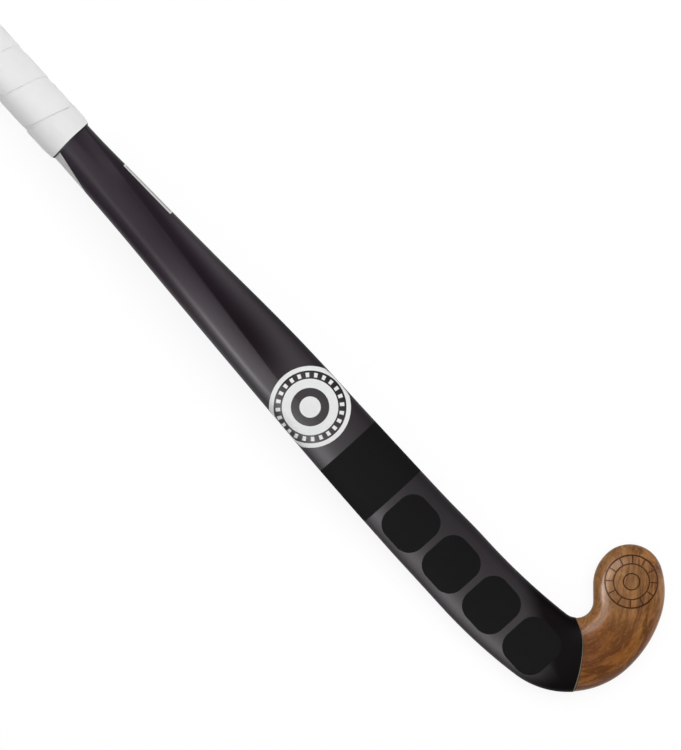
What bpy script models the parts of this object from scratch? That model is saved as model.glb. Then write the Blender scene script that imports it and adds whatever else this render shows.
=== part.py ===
"""Indoor hockey stick, laid face down on a surface, with its hook at +X.

The wooden head and lower shaft take the V-shaped end of a laminated cane
handle.  A fibre sleeve covers both down to the hook, and the handle carries
a foam underlay, a wound grip, its finishing tapes and a butt cap.

Sizes are real sizes in metres, written as millimetres times MM.  The stick is
modelled with the bottom of its hook at x = 0, its shaft along -X and its flat
playing face down, and an empty then centres it on the origin.  A station is a
distance up the stick from the bottom of the hook.
"""

import math

import bmesh
import bpy
from mathutils import Vector, kdtree

MM = 0.001

# Fits between pieces
GAP = 0.3 * MM

# Overall
LENGTH = 889 * MM
FACE_BOW = 20 * MM
BOW_START = 60 * MM
BOW_PEAK = 290 * MM

# Handle, an oval under the grip, set a little towards the heel side
HANDLE_WIDTH = 29.4 * MM
HANDLE_OFFSET = 0.7 * MM
HANDLE_DEPTH = 33 * MM
HANDLE_END = 487.5 * MM

# Shaft, as (station, heel side half width, toe side half width)
SHAFT_ROWS = (
    (430 * MM, 16.5 * MM, 16.2 * MM),
    (375 * MM, 18.7 * MM, 18.6 * MM),
    (300 * MM, 21.5 * MM, 22.3 * MM),
    (225 * MM, 24.0 * MM, 23.2 * MM),
    (160 * MM, 25.1 * MM, 24.0 * MM),
)
SHAFT_DEPTH = 21 * MM
FLAT_FACE_START = 200 * MM
EDGE_HEIGHT = 8 * MM
FACE_EDGE_RADIUS = 5 * MM

# Ridge and scoop along the upper back
RIDGE_TOP = 10.9 * MM
RIDGE_FOOT = -5 * MM
RIDGE_END = 290 * MM
RIDGE_EASE = 1.15
RIDGE_FALL = 0.45
SCOOP_RISE = 45 * MM
SCOOP_FADE = 330 * MM
SCOOP_END = 235 * MM
WING_SHARE = 0.42

# Hook, outer edge: straight shaft edge, flare, heel, bottom and toe, as arcs
HEEL_HALF_WIDTH = 25.0 * MM
HEEL_FLARE_RADIUS = 351 * MM
HEEL_FLARE_TURN = math.radians(10.5)
HEEL_RADIUS = 56.1 * MM
BOTTOM_RADIUS = 77.5 * MM
BOTTOM_TURN = math.radians(30.5)
SHOULDER_RADIUS = 51.9 * MM
SHOULDER_TURN = math.radians(34.1)
TOE_RADIUS = 21.4 * MM
TOE_TURN = math.radians(113.5)
TOE_INNER_RADIUS = 27.5 * MM

# Hook, inner edge: flare, throat and the straight edge up to the toe
THROAT_HALF_WIDTH = 25.2 * MM
THROAT_FLARE_RADIUS = 428 * MM
THROAT_FLARE_START = 123 * MM
THROAT_RADIUS = 10.4 * MM
THROAT_STATION = 43.5 * MM
HEAD_DEPTH = 20.5 * MM
HEAD_BACK_POWER = 2.9
SHAFT_BACK_POWER = 2.2
HEAD_BLEND_START = 170 * MM

# Fibre sleeve
SLEEVE_WALL = 0.9 * MM
SLEEVE_LIP = 0.25 * MM
SLEEVE_TURN = math.radians(53.6)
SLEEVE_SKEW = 4.8 * MM
SLEEVE_DROP = 10.7 * MM

# Splice of the handle into the head
SPLICE_MOUTH = 425 * MM
SPLICE_TIP = 215 * MM
EAR_THICKNESS = 1.5 * MM
STAVE_WIDTH = 5.2 * MM
RUBBER_THICKNESS = 1.5 * MM

# Butt cap
CAP_THICKNESS = 5 * MM
CAP_SKIRT_LENGTH = 14 * MM
CAP_OVERHANG = 3.1 * MM
CAP_EDGE = 1.5 * MM

# Grip
UNDERLAY_THICKNESS = 0.4 * MM
UNDERLAY_SKIVED = 0.2 * MM
UNDERLAY_SKIVE_LENGTH = 90 * MM
WRAP_WIDTH = 30 * MM
WRAP_PITCH = 26 * MM
WRAP_THICKNESS = 0.9 * MM
WRAP_EDGE_THICKNESS = 0.45 * MM
WRAP_LAP_GAP = 0.45 * MM
WRAP_SLOPE = 2 * MM
WRAP_END = 497.5 * MM
TAPE_THICKNESS = 0.3 * MM
TAPE_TOP = 506.8 * MM
TAPE_TILT = 0.25
TAPE_TAPER = 8 * MM
EDGE_TAPE_WIDTH = 4 * MM
EDGE_TAPE_SHOWN = 1 * MM
EDGE_TAPE_THICKNESS = 0.35 * MM

# Fineness of the solids
BACK_STEPS = 14
EDGE_STEPS = 3
OVAL_STEPS = 32
LOOP_POINTS = 24
TOE_STEPS = 14
SLEEVE_END_STEPS = 5
SOCKET_END_STEPS = 4
HOOK_STEPS = 11
GRIP_SPACING = 160 * MM
SHAFT_SPACING = 27 * MM
FLARE_SPACING = 17 * MM

# Room round cutters, and round a point of the strip when its gaps are measured
CUT_MARGIN = 20 * MM
SEARCH_RADIUS = 3 * MM

COLOURS = {
    "wood": ((0.30, 0.15, 0.06), 0.35),
    "cane": ((0.62, 0.47, 0.27), 0.6),
    "rubber": ((0.03, 0.03, 0.03), 0.8),
    "paint": ((0.022, 0.019, 0.024), 0.3),
    "foam": ((0.12, 0.12, 0.13), 0.9),
    "grip": ((0.82, 0.82, 0.82), 0.6),
    "white_tape": ((0.80, 0.82, 0.82), 0.5),
    "black_tape": ((0.02, 0.02, 0.02), 0.5),
    "cap": ((0.03, 0.03, 0.03), 0.6),
}


def mix(a, b, share):
    return a + (b - a) * share


def ease(value, start, end):
    """0 at start and 1 at end, with no kink at either."""
    share = min(max((value - start) / (end - start), 0.0), 1.0)
    return share * share * (3 - 2 * share)


def smooth_row(station, rows):
    """The values of a table of stations, joined by one smooth curve."""
    rows = sorted(rows)
    if station <= rows[0][0]:
        return rows[0][1:]
    if station >= rows[-1][0]:
        return rows[-1][1:]
    last = len(rows) - 1
    i = max(n for n in range(last) if rows[n][0] <= station)
    low, high = rows[i], rows[i + 1]
    span = high[0] - low[0]
    share = (station - low[0]) / span

    def slope(n, column):
        if n in (0, last):
            return 0.0
        before, after = rows[n - 1], rows[n + 1]
        return (after[column] - before[column]) / (after[0] - before[0])

    values = []
    for column in range(1, len(low)):
        rise = ease(share, 0, 1)
        bend_low = share * (1 - share) ** 2 * span * slope(i, column)
        bend_high = share**2 * (1 - share) * span * slope(i + 1, column)
        values.append(mix(low[column], high[column], rise) + bend_low - bend_high)
    return values


def direction(angle):
    return Vector((math.cos(angle), math.sin(angle)))


class Arc:
    """A left-turning arc of the hook's outer edge, from a point and a heading."""

    def __init__(self, start, heading, radius, turn):
        self.radius = radius
        self.first = heading - math.pi / 2
        self.turn = turn
        self.centre = start - radius * direction(self.first)
        self.end = self.centre + radius * direction(self.first + turn)
        self.end_heading = heading + turn

    def hit(self, origin, way):
        """How far origin is from the arc along way, or None."""
        offset = origin - self.centre
        along = offset.dot(way)
        under = along * along - offset.length_squared + self.radius**2
        if under < 0:
            return None
        reach = -along + math.sqrt(under)
        point = offset + way * reach
        swept = (math.atan2(point.y, point.x) - self.first) % (2 * math.pi)
        return reach if swept <= self.turn + 1e-9 else None


def outer_arcs():
    """The hook's outer edge, with the bottom of the hook at x = 0."""
    flare_run = HEEL_FLARE_RADIUS * math.sin(HEEL_FLARE_TURN)
    heel_run = HEEL_RADIUS * (1 - math.sin(HEEL_FLARE_TURN))
    point = Vector((-flare_run - heel_run, -HEEL_HALF_WIDTH))
    heading = 0.0
    arcs = []
    for radius, turn in (
        (HEEL_FLARE_RADIUS, HEEL_FLARE_TURN),
        (HEEL_RADIUS, math.pi / 2 - HEEL_FLARE_TURN),
        (BOTTOM_RADIUS, BOTTOM_TURN),
        (SHOULDER_RADIUS, SHOULDER_TURN),
        (TOE_RADIUS, TOE_TURN),
        (TOE_INNER_RADIUS, math.pi / 2),
    ):
        arc = Arc(point, heading, radius, turn)
        arcs.append(arc)
        point, heading = arc.end, arc.end_heading
    return arcs


ARCS = outer_arcs()
FLARE_TURN = math.asin(
    (THROAT_FLARE_START - THROAT_STATION - THROAT_RADIUS) / (THROAT_FLARE_RADIUS - THROAT_RADIUS)
)
CORNER_X = -THROAT_FLARE_START + THROAT_FLARE_RADIUS * math.sin(FLARE_TURN)
CORNER_Y = THROAT_HALF_WIDTH + THROAT_FLARE_RADIUS * (1 - math.cos(FLARE_TURN))
THROAT_CENTRE = Vector((CORNER_X, CORNER_Y)) + THROAT_RADIUS * direction(FLARE_TURN + math.pi / 2)
TO_TOE = ARCS[-1].centre - THROAT_CENTRE
TOE_HEADING = math.atan2(TO_TOE.y, TO_TOE.x) + math.asin((TOE_INNER_RADIUS + THROAT_RADIUS) / TO_TOE.length)
TOE_EDGE_LENGTH = math.sqrt(TO_TOE.length_squared - (TOE_INNER_RADIUS + THROAT_RADIUS) ** 2)
MID_RADIUS = THROAT_RADIUS + HEEL_HALF_WIDTH
CORNER_RUN = MID_RADIUS * (TOE_HEADING - FLARE_TURN)
HEAD_RUN = CORNER_RUN + TOE_EDGE_LENGTH


def run_at(station):
    """The run of a station on the shaft: the way past the start of the throat."""
    return -CORNER_X - station


def inner_edge(run):
    """The inner edge's point at a run, and the heading of the edge there."""
    if run <= 0:
        x = CORNER_X + run
        past = x + THROAT_FLARE_START
        if past <= 0:
            return Vector((x, shaft_sides(-x)[1])), 0.0
        turn = math.asin(past / THROAT_FLARE_RADIUS)
        y = THROAT_HALF_WIDTH + THROAT_FLARE_RADIUS * (1 - math.cos(turn))
        return Vector((x, y)), turn
    if run <= CORNER_RUN:
        heading = FLARE_TURN + run / MID_RADIUS
        return THROAT_CENTRE + THROAT_RADIUS * direction(heading - math.pi / 2), heading
    start = THROAT_CENTRE + THROAT_RADIUS * direction(TOE_HEADING - math.pi / 2)
    return start + (run - CORNER_RUN) * direction(TOE_HEADING), TOE_HEADING


def reach_outer(origin, way):
    """How far the outer edge of the hook is from origin along way."""
    for arc in ARCS:
        reach = arc.hit(origin, way)
        if reach is not None:
            return reach
    return (-HEEL_HALF_WIDTH - origin.y) / way.y


def shaft_sides(station):
    """Heel side and toe side half widths on the handle and shaft."""
    ends = (
        (THROAT_FLARE_START, HEEL_HALF_WIDTH, THROAT_HALF_WIDTH),
        (HANDLE_END, HANDLE_WIDTH / 2 + HANDLE_OFFSET, HANDLE_WIDTH / 2 - HANDLE_OFFSET),
    )
    return smooth_row(station, SHAFT_ROWS + ends)


def face_lift(station):
    """Height of the playing side over the surface that the stick lies on."""
    if station <= BOW_PEAK:
        return FACE_BOW * ease(station, BOW_START, BOW_PEAK)
    return mix(FACE_BOW, CAP_OVERHANG, (station - BOW_PEAK) / (LENGTH - BOW_PEAK))


def ridge_line(station):
    """Where the ridge of the back lies across the shaft."""
    share = min(max((HANDLE_END - station) / (HANDLE_END - RIDGE_END), 0.0), 1.0)
    return mix(RIDGE_TOP, RIDGE_FOOT, share**RIDGE_EASE)


class Station:
    """The cross-section at a run, by the place of its two edges and its heights."""

    def __init__(self, run, inset):
        inner, heading = inner_edge(run)
        way = direction(heading - math.pi / 2)
        station = -inner.x if run <= 0 else 0.0
        if run <= run_at(THROAT_FLARE_START):
            width = sum(shaft_sides(station))
        else:
            width = reach_outer(inner, way)
        on_head = ease(run, run_at(HEAD_BLEND_START), 0)
        handle = ease(station, FLAT_FACE_START, HANDLE_END)
        self.half = width / 2 - inset
        self.middle = inner + way * (width / 2)
        self.way = -way
        self.inset = inset
        self.floor = face_lift(station) + inset
        self.edge = face_lift(station) + mix(EDGE_HEIGHT, HANDLE_DEPTH / 2, handle)
        depth = mix(mix(SHAFT_DEPTH, HANDLE_DEPTH, handle), HEAD_DEPTH, on_head)
        self.rise = face_lift(station) + depth - self.edge
        self.power = mix(mix(SHAFT_BACK_POWER, 2, handle), HEAD_BACK_POWER, on_head)
        self.corner = mix(FACE_EDGE_RADIUS, width / 2, handle) - inset
        self.scoop = ease(station, HANDLE_END, HANDLE_END - SCOOP_RISE) * ease(station, SCOOP_END, SCOOP_FADE)
        across = (ridge_line(station) - self.middle.y) / (width / 2)
        self.ridge = across * ease(station, THROAT_FLARE_START, RIDGE_END)

    def share(self, v):
        """The back's height over the edge line, as a share of the rise."""
        plain = (1 - abs(v) ** self.power) ** (1 / self.power)
        if not self.scoop:
            return plain
        crest = (self.ridge - 1) / 2
        heel_run = 1 + crest
        toe_run = (self.ridge - crest) / RIDGE_FALL
        run = heel_run if v < crest else toe_run
        place = min(v, self.ridge)
        shaped = math.sqrt(max(1 - ((place - crest) / run) ** 2, 0.0))
        if v > self.ridge:
            past = (v - self.ridge) / (1 - self.ridge)
            shaped = WING_SHARE + (shaped - WING_SHARE) * (1 - past) ** 2
            shaped *= math.sqrt(1 - past**8)
        return mix(plain, shaped, self.scoop)

    def point(self, v, z):
        place = self.middle + self.way * (v * self.half)
        return Vector((place.x, place.y, z))

    def back(self, step):
        """Point number step of the back, from the heel edge to the toe edge."""
        half_steps = BACK_STEPS // 2
        if step <= half_steps:
            v = -1 + (1 + self.ridge) * (1 - math.cos(math.pi / 2 * step / half_steps))
        else:
            left = BACK_STEPS - step
            v = 1 - (1 - self.ridge) * (1 - math.cos(math.pi / 2 * left / half_steps))
        fade = math.sqrt(max(1 - v**4, 0.0))
        return v, self.edge + self.rise * self.share(v) - self.inset * fade

    def face(self, step):
        """Point number step of the playing side, from the toe edge to the heel edge."""
        side = 1
        if step == EDGE_STEPS + 1:
            return 0.0, self.floor
        if step > EDGE_STEPS:
            side = -1
            step = 2 * EDGE_STEPS + 2 - step
        angle = math.pi / 2 * step / EDGE_STEPS
        corner = min(self.corner / self.half, 0.98)
        v = 1 - corner * (1 - math.cos(angle))
        return side * v, self.edge - (self.edge - self.floor) * math.sin(angle)


def profile(station):
    """The (v, z) pairs round a cross-section, starting at its heel edge."""
    back = [station.back(step) for step in range(BACK_STEPS + 1)]
    face = [station.face(step) for step in range(1, 2 * EDGE_STEPS + 2)]
    return back + face


def section(run, inset=0.0):
    """One ring of points.  Run is a number, or a function of the place v across."""
    if not callable(run):
        station = Station(run, inset)
        return [station.point(v, z) for v, z in profile(station)]
    points = []
    for index, (v, _) in enumerate(profile(Station(run(0), inset))):
        station = Station(run(v), inset)
        v, z = profile(station)[index]
        points.append(station.point(v, z))
    return points


def oval(station, outset, count=OVAL_STEPS):
    """A ring round the handle, outset from the sleeve's surface.

    Station is a number, or a function of the point's place across the handle.
    """
    return [
        oval_point(station, outset, 2 * math.pi * step / count) for step in range(count)
    ]


def oval_point(station, outset, angle):
    y = (HANDLE_WIDTH / 2 + outset) * math.cos(angle)
    at = station(y) if callable(station) else station
    z = face_lift(at) + HANDLE_DEPTH / 2 + (HANDLE_DEPTH / 2 + outset) * math.sin(angle)
    return Vector((-at, y - HANDLE_OFFSET, z))


def add_object(name, mesh_data, material_name, parent):
    obj = bpy.data.objects.new(name, mesh_data)
    bpy.context.collection.objects.link(obj)
    obj.parent = parent
    mesh_data.shade_smooth()
    mesh_data.set_sharp_from_angle(angle=math.radians(40))
    if not mesh_data.materials:
        mesh_data.materials.append(material(material_name))
    return obj


def material(name):
    found = bpy.data.materials.get(name)
    if found:
        return found
    colour, roughness = COLOURS[name]
    made = bpy.data.materials.new(name)
    made.use_nodes = True
    shader = made.node_tree.nodes["Principled BSDF"]
    shader.inputs["Base Color"].default_value = (*colour, 1)
    shader.inputs["Roughness"].default_value = roughness
    shader.inputs["Metallic"].default_value = 0
    made.diffuse_color = (*colour, 1)
    return made


def mesh_from(name, bm):
    bmesh.ops.recalc_face_normals(bm, faces=bm.faces)
    mesh_data = bpy.data.meshes.new(name)
    bm.to_mesh(mesh_data)
    bm.free()
    return mesh_data


def bridge(bm, low, high):
    """Quads between two rows of corners that go round."""
    for index in range(len(low)):
        after = (index + 1) % len(low)
        bm.faces.new((low[index], low[after], high[after], high[index]))


def skin(bm, rings):
    """Quads between rings of equal length.  Gives the rows of corners."""
    rows = [[bm.verts.new(point) for point in ring] for ring in rings]
    for low, high in zip(rows, rows[1:]):
        bridge(bm, low, high)
    return rows


def lofted(name, rings):
    """A solid through the rings, with a flat face at each end."""
    bm = bmesh.new()
    rows = skin(bm, rings)
    bm.faces.new(rows[0])
    bm.faces.new(rows[-1])
    return mesh_from(name, bm)


def hollow(name, outer, inner):
    """A tube with open ends, between outer and inner rings."""
    bm = bmesh.new()
    outside, inside = skin(bm, outer), skin(bm, inner)
    for end in (0, -1):
        bridge(bm, outside[end], inside[end])
    return mesh_from(name, bm)


def stations(first, last, step):
    """Evenly spaced runs between two stations on the shaft, first one first."""
    count = max(1, round(abs(first - last) / step))
    return [run_at(mix(first, last, n / count)) for n in range(count + 1)]


def shaft_runs(first):
    """Runs from a station down to the start of the throat's flare."""
    upper = stations(first, HANDLE_END, GRIP_SPACING) if first > HANDLE_END else []
    below = min(first, HANDLE_END)
    lower = stations(below, THROAT_FLARE_START, SHAFT_SPACING)
    return upper + lower[1 if upper else 0 :]


def flare_runs():
    """Runs down the throat's flare, after its start."""
    return stations(THROAT_FLARE_START, -CORNER_X, FLARE_SPACING)[1:]


def sleeve_end(v):
    """Run of the sleeve's lower edge: skewed, and drawn back beside the throat."""
    middle = (SLEEVE_TURN - FLARE_TURN) * MID_RADIUS
    return middle + SLEEVE_SKEW * v - SLEEVE_DROP * max(v, 0.0) ** 4


def curved_end(start, share, beyond=0.0):
    """A run that goes from a straight section to the sleeve's curved edge."""
    return lambda v: mix(start, sleeve_end(v) + beyond, share)


def sleeve(parent):
    runs = shaft_runs(LENGTH - CAP_THICKNESS - GAP) + flare_runs()
    shares = [(n + 1) / SLEEVE_END_STEPS for n in range(SLEEVE_END_STEPS)]
    runs += [curved_end(0.0, share) for share in shares]
    outer = [section(run, 0.0) for run in runs]
    inner = [section(run, SLEEVE_WALL) for run in runs]
    return add_object("fibre_sleeve", hollow("fibre_sleeve", outer, inner), "paint", parent)


def toe_cap(bm, last_ring, inset):
    """Closes the head round its toe, by turning half of the last section."""
    station = Station(HEAD_RUN, inset)
    pairs = profile(station)
    half = BACK_STEPS // 2
    toe_side = list(range(half, BACK_STEPS + EDGE_STEPS + 2))
    heel_side = [(half - n) % len(pairs) for n in range(len(toe_side))]
    rows = [[last_ring[index] for index in heel_side]]
    first = math.atan2(-station.way.y, -station.way.x)
    for step in range(1, TOE_STEPS):
        way = direction(first + math.pi * step / TOE_STEPS)
        reach = reach_outer(station.middle, way) - inset
        row = [last_ring[toe_side[0]]]
        for index in toe_side[1:-1]:
            v, z = pairs[index]
            place = station.middle + way * (v * reach)
            row.append(bm.verts.new((place.x, place.y, z)))
        row.append(last_ring[toe_side[-1]])
        rows.append(row)
    rows.append([last_ring[index] for index in toe_side])
    for low, high in zip(rows, rows[1:]):
        for index in range(len(low) - 1):
            corners = [low[index], low[index + 1], high[index + 1], high[index]]
            bm.faces.new(list(dict.fromkeys(corners)))


def core_half_width(station):
    return sum(shaft_sides(station)) / 2 - SLEEVE_WALL - GAP


def splice_half_width(station):
    """Half width of the handle's V at a station of the splice."""
    mouth = core_half_width(SPLICE_MOUTH) - EAR_THICKNESS
    tip = RUBBER_THICKNESS / 2 + GAP
    return mix(tip, mouth, (station - SPLICE_TIP) / (SPLICE_MOUTH - SPLICE_TIP))


def splice_station(half_width):
    """Station where the handle's V is this wide, the tip at most."""
    mouth, tip = splice_half_width(SPLICE_MOUTH), splice_half_width(SPLICE_TIP)
    share = max((half_width - tip) / (mouth - tip), 0.0)
    return mix(SPLICE_TIP, SPLICE_MOUTH, share)


def cutter(name, outline, parent):
    """A hidden upright prism over an outline of (station, y) corners."""
    low, high = -CUT_MARGIN, FACE_BOW + HANDLE_DEPTH + CUT_MARGIN
    rings = [[Vector((-station, y, z)) for station, y in outline] for z in (low, high)]
    obj = add_object(name, lofted(name, rings), "rubber", parent)
    obj.hide_render = True
    obj.display_type = "WIRE"
    return obj


def boolean(obj, operation, other):
    modifier = obj.modifiers.new(operation.lower(), "BOOLEAN")
    modifier.operation = operation
    modifier.object = other


def mulberry_head(parent):
    """The one-piece head and lower shaft, forked at its top for the splice."""
    under = SLEEVE_WALL + GAP
    rings = [section(run, under) for run in shaft_runs(SPLICE_MOUTH) + flare_runs()]
    shares = [(n + 1) / SOCKET_END_STEPS for n in range(SOCKET_END_STEPS)]
    rings += [section(curved_end(0.0, share, GAP), under) for share in shares]
    for step in range(HOOK_STEPS + 1):
        share = step / HOOK_STEPS
        rings.append(
            section(lambda v, share=share: mix(sleeve_end(v) + GAP, HEAD_RUN, share), SLEEVE_LIP)
        )
    bm = bmesh.new()
    rows = skin(bm, rings)
    bm.faces.new(rows[0])
    toe_cap(bm, rows[-1], SLEEVE_LIP)
    head = add_object("mulberry_head", mesh_from("mulberry_head", bm), "wood", parent)
    past = SPLICE_MOUTH + CUT_MARGIN
    mouth = splice_half_width(past) + GAP
    tip = splice_half_width(SPLICE_TIP) + GAP
    outline = [
        (past, -mouth),
        (SPLICE_TIP - GAP, -tip),
        (SPLICE_TIP - GAP, tip),
        (past, mouth),
    ]
    boolean(head, "DIFFERENCE", cutter("splice_socket_cutter", outline, parent))
    return head


def laminate_outline(low, high):
    """Plan of one layer of the handle, from y = low to y = high, cut to the V."""
    end = LENGTH + CUT_MARGIN
    wide = HANDLE_WIDTH
    mirrored = high <= 0
    if mirrored:
        low, high = -high, -low
    if low < 0:
        return [(end, low), (SPLICE_TIP, low), (SPLICE_TIP, high), (end, high)]
    outline = [(end, low), (splice_station(low), low)]
    if high < splice_half_width(SPLICE_MOUTH):
        outline += [(splice_station(high), high), (end, high)]
    else:
        shoulder = SPLICE_MOUTH + GAP
        outline += [(shoulder, splice_half_width(shoulder)), (shoulder, wide), (end, wide)]
    if mirrored:
        outline = [(station, -y) for station, y in reversed(outline)]
    return outline


def handle(parent):
    """Four cane staves with rubber strips between them, shaped to one section."""
    under = SLEEVE_WALL + GAP
    runs = [run for run in shaft_runs(LENGTH - CAP_THICKNESS - GAP) if run < run_at(SPLICE_TIP - CUT_MARGIN)]
    core = lofted("handle_core", [section(run, under) for run in runs])
    centre = RUBBER_THICKNESS / 2
    inner = centre + GAP
    side = inner + STAVE_WIDTH + GAP
    outer = side + RUBBER_THICKNESS + GAP
    layers = (
        ("rubber_strip_centre", -centre, centre, "rubber"),
        ("cane_stave_inner_toe", inner, inner + STAVE_WIDTH, "cane"),
        ("rubber_strip_toe", side, side + RUBBER_THICKNESS, "rubber"),
        ("cane_stave_outer_toe", outer, HANDLE_WIDTH, "cane"),
        ("cane_stave_inner_heel", -inner - STAVE_WIDTH, -inner, "cane"),
        ("rubber_strip_heel", -side - RUBBER_THICKNESS, -side, "rubber"),
        ("cane_stave_outer_heel", -HANDLE_WIDTH, -outer, "cane"),
    )
    for name, low, high, material_name in layers:
        piece = add_object(name, core.copy(), material_name, parent)
        boolean(piece, "INTERSECT", cutter(name + "_cutter", laminate_outline(low, high), parent))
    bpy.data.meshes.remove(core)


def butt_cap(parent):
    """A cup over the end of the handle, with a flange that hides the grip's start."""
    inside = LENGTH - CAP_THICKNESS
    skirt_end = inside - CAP_SKIRT_LENGTH
    skirt = GAP + UNDERLAY_THICKNESS
    round_over = CAP_EDGE * (1 - math.sqrt(0.5))
    rings = [
        oval(inside, GAP),
        oval(skirt_end, GAP),
        oval(skirt_end, skirt),
        oval(inside, skirt),
        oval(inside, CAP_OVERHANG),
        oval(LENGTH - CAP_EDGE, CAP_OVERHANG),
        oval(LENGTH - round_over, CAP_OVERHANG - round_over),
        oval(LENGTH, CAP_OVERHANG - CAP_EDGE),
    ]
    return add_object("butt_cap", lofted("butt_cap", rings), "cap", parent)


def underlay_thickness(station):
    """Full on the handle, and skived thin towards the strip's lower end."""
    share = (station - WRAP_END) / UNDERLAY_SKIVE_LENGTH
    return mix(UNDERLAY_SKIVED, UNDERLAY_THICKNESS, min(max(share, 0.0), 1.0))


def underlay(parent):
    ends = (
        LENGTH - CAP_THICKNESS - CAP_SKIRT_LENGTH - GAP,
        WRAP_END + UNDERLAY_SKIVE_LENGTH,
        WRAP_END + GAP,
    )
    outer = [oval(at, GAP + underlay_thickness(at)) for at in ends]
    inner = [oval(at, GAP) for at in ends]
    return add_object("grip_underlay", hollow("grip_underlay", outer, inner), "foam", parent)


def wrap_base(station):
    """Outset of the strip's seat on the underlay."""
    return 2 * GAP + underlay_thickness(station)


def squeeze(width, kept):
    """How far a cut strip draws in the part of its profile next to the cut."""
    return min(1.0, (width - kept) / (WRAP_WIDTH - kept))


def wrap_profile(width, lift, cut_at_cap):
    """Corners of the strip across its width, as (along the handle, outwards).

    The edge nearer the butt is lifted over the turn before, by the share lift.
    """
    lap = WRAP_WIDTH - WRAP_PITCH
    edge = WRAP_EDGE_THICKNESS
    raised = lift * (edge + WRAP_LAP_GAP)
    under = WRAP_SLOPE / 4
    near = squeeze(width, lap + WRAP_SLOPE) if cut_at_cap else 1.0
    far = 1.0 if cut_at_cap else squeeze(width, lap + 1.5 * WRAP_SLOPE)
    foot = (lap + WRAP_SLOPE) * near
    return [
        (0.0, raised),
        (lap * near, raised),
        (foot, 0.0),
        (width, 0.0),
        (width, edge),
        (width - (lap + under) * far, edge),
        (width - (lap + 2 * under) * far, WRAP_THICKNESS),
        (foot, WRAP_THICKNESS),
        (lap * near, raised + mix(WRAP_THICKNESS, edge, lift)),
        (0.0, raised + edge),
    ]


def wrap_sections():
    """The strip's sections along its helix, from the cap to the lower end."""
    start = LENGTH - CAP_THICKNESS - GAP
    lap = WRAP_WIDTH - WRAP_PITCH
    first = (2 * WRAP_SLOPE) / WRAP_PITCH
    last = (start - WRAP_END - lap - 2 * WRAP_SLOPE) / WRAP_PITCH + 1
    count = round((last - first) * LOOP_POINTS)
    sections = []
    for step in range(count + 1):
        turn = first + step / LOOP_POINTS
        near = start - WRAP_PITCH * (turn - 1)
        far = max(near - WRAP_WIDTH, WRAP_END)
        near = min(near, start)
        angle = math.pi / 2 - 2 * math.pi * turn
        lift = ease(turn, first + 0.5, first + 0.95)
        ring = []
        for along, out in wrap_profile(near - far, lift, turn < 1):
            station = near - along
            ring.append(oval_point(station, wrap_base(station) + out, angle))
        sections.append(ring)
    return sections


def least_gap(sections):
    """Least distance between points of different turns of the strip."""
    tree = kdtree.KDTree(sum(len(ring) for ring in sections))
    owners = []
    for number, ring in enumerate(sections):
        for point in ring:
            tree.insert(point, len(owners))
            owners.append(number)
    tree.balance()
    least = math.inf
    for number, ring in enumerate(sections):
        for point in ring:
            for _, index, distance in tree.find_range(point, SEARCH_RADIUS):
                if abs(owners[index] - number) > LOOP_POINTS // 2:
                    least = min(least, distance)
    return least


def grip_wrap(parent):
    sections = wrap_sections()
    turns = (len(sections) - 1) / LOOP_POINTS
    print(f"grip strip: {turns:.1f} turns, least gap to itself {least_gap(sections) / MM:.2f} mm")
    return add_object("grip_wrap", lofted("grip_wrap", sections), "grip", parent)


def finishing_tape(parent):
    """White tape over the strip's end, drawn in to a square edge on the handle."""
    highest = TAPE_TOP + TAPE_TILT * HANDLE_WIDTH
    cover = wrap_base(highest) + 2 * WRAP_EDGE_THICKNESS + WRAP_LAP_GAP + GAP
    foot = 2 * GAP + EDGE_TAPE_THICKNESS

    def top(y):
        return TAPE_TOP - TAPE_TILT * y

    taper = HANDLE_END + TAPE_TAPER
    inner = [oval(top, cover), oval(taper, cover), oval(HANDLE_END + GAP, foot), oval(HANDLE_END, foot)]
    outer = [
        oval(top, cover + TAPE_THICKNESS),
        oval(taper, cover + TAPE_THICKNESS),
        oval(HANDLE_END + GAP, foot + TAPE_THICKNESS),
        oval(HANDLE_END, foot + TAPE_THICKNESS),
    ]
    mesh_data = hollow("grip_finishing_tape", outer, inner)
    return add_object("grip_finishing_tape", mesh_data, "white_tape", parent)


def edge_tape(parent):
    low = HANDLE_END - EDGE_TAPE_SHOWN
    ends = (low + EDGE_TAPE_WIDTH, low)
    outer = [oval(at, GAP + EDGE_TAPE_THICKNESS) for at in ends]
    inner = [oval(at, GAP) for at in ends]
    return add_object("grip_edge_tape", hollow("grip_edge_tape", outer, inner), "black_tape", parent)


def bounds(objects):
    points = [vertex.co for obj in objects for vertex in obj.data.vertices]
    low = Vector(min(point[axis] for point in points) for axis in range(3))
    high = Vector(max(point[axis] for point in points) for axis in range(3))
    return low, high


def main():
    for obj in list(bpy.data.objects):
        bpy.data.objects.remove(obj)
    stick = bpy.data.objects.new("stick", None)
    bpy.context.collection.objects.link(stick)
    handle(stick)
    outside = [mulberry_head(stick), sleeve(stick), butt_cap(stick)]
    underlay(stick)
    grip_wrap(stick)
    finishing_tape(stick)
    edge_tape(stick)
    low, high = bounds(outside)
    stick.location = (-(low.x + high.x) / 2, -(low.y + high.y) / 2, -low.z)


main()
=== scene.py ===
"""Indoor hockey stick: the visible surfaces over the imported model.

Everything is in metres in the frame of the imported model, where the stick lies
face down on the floor with its hook at +X.  The outlines follow the stick's own
sizes.  A station is a distance up the stick from the bottom of its hook, and a
run is the way down the middle of the stick, past the start of the throat.
"""

import math

import bmesh
import bpy
from mathutils import Matrix, Vector, noise


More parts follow.
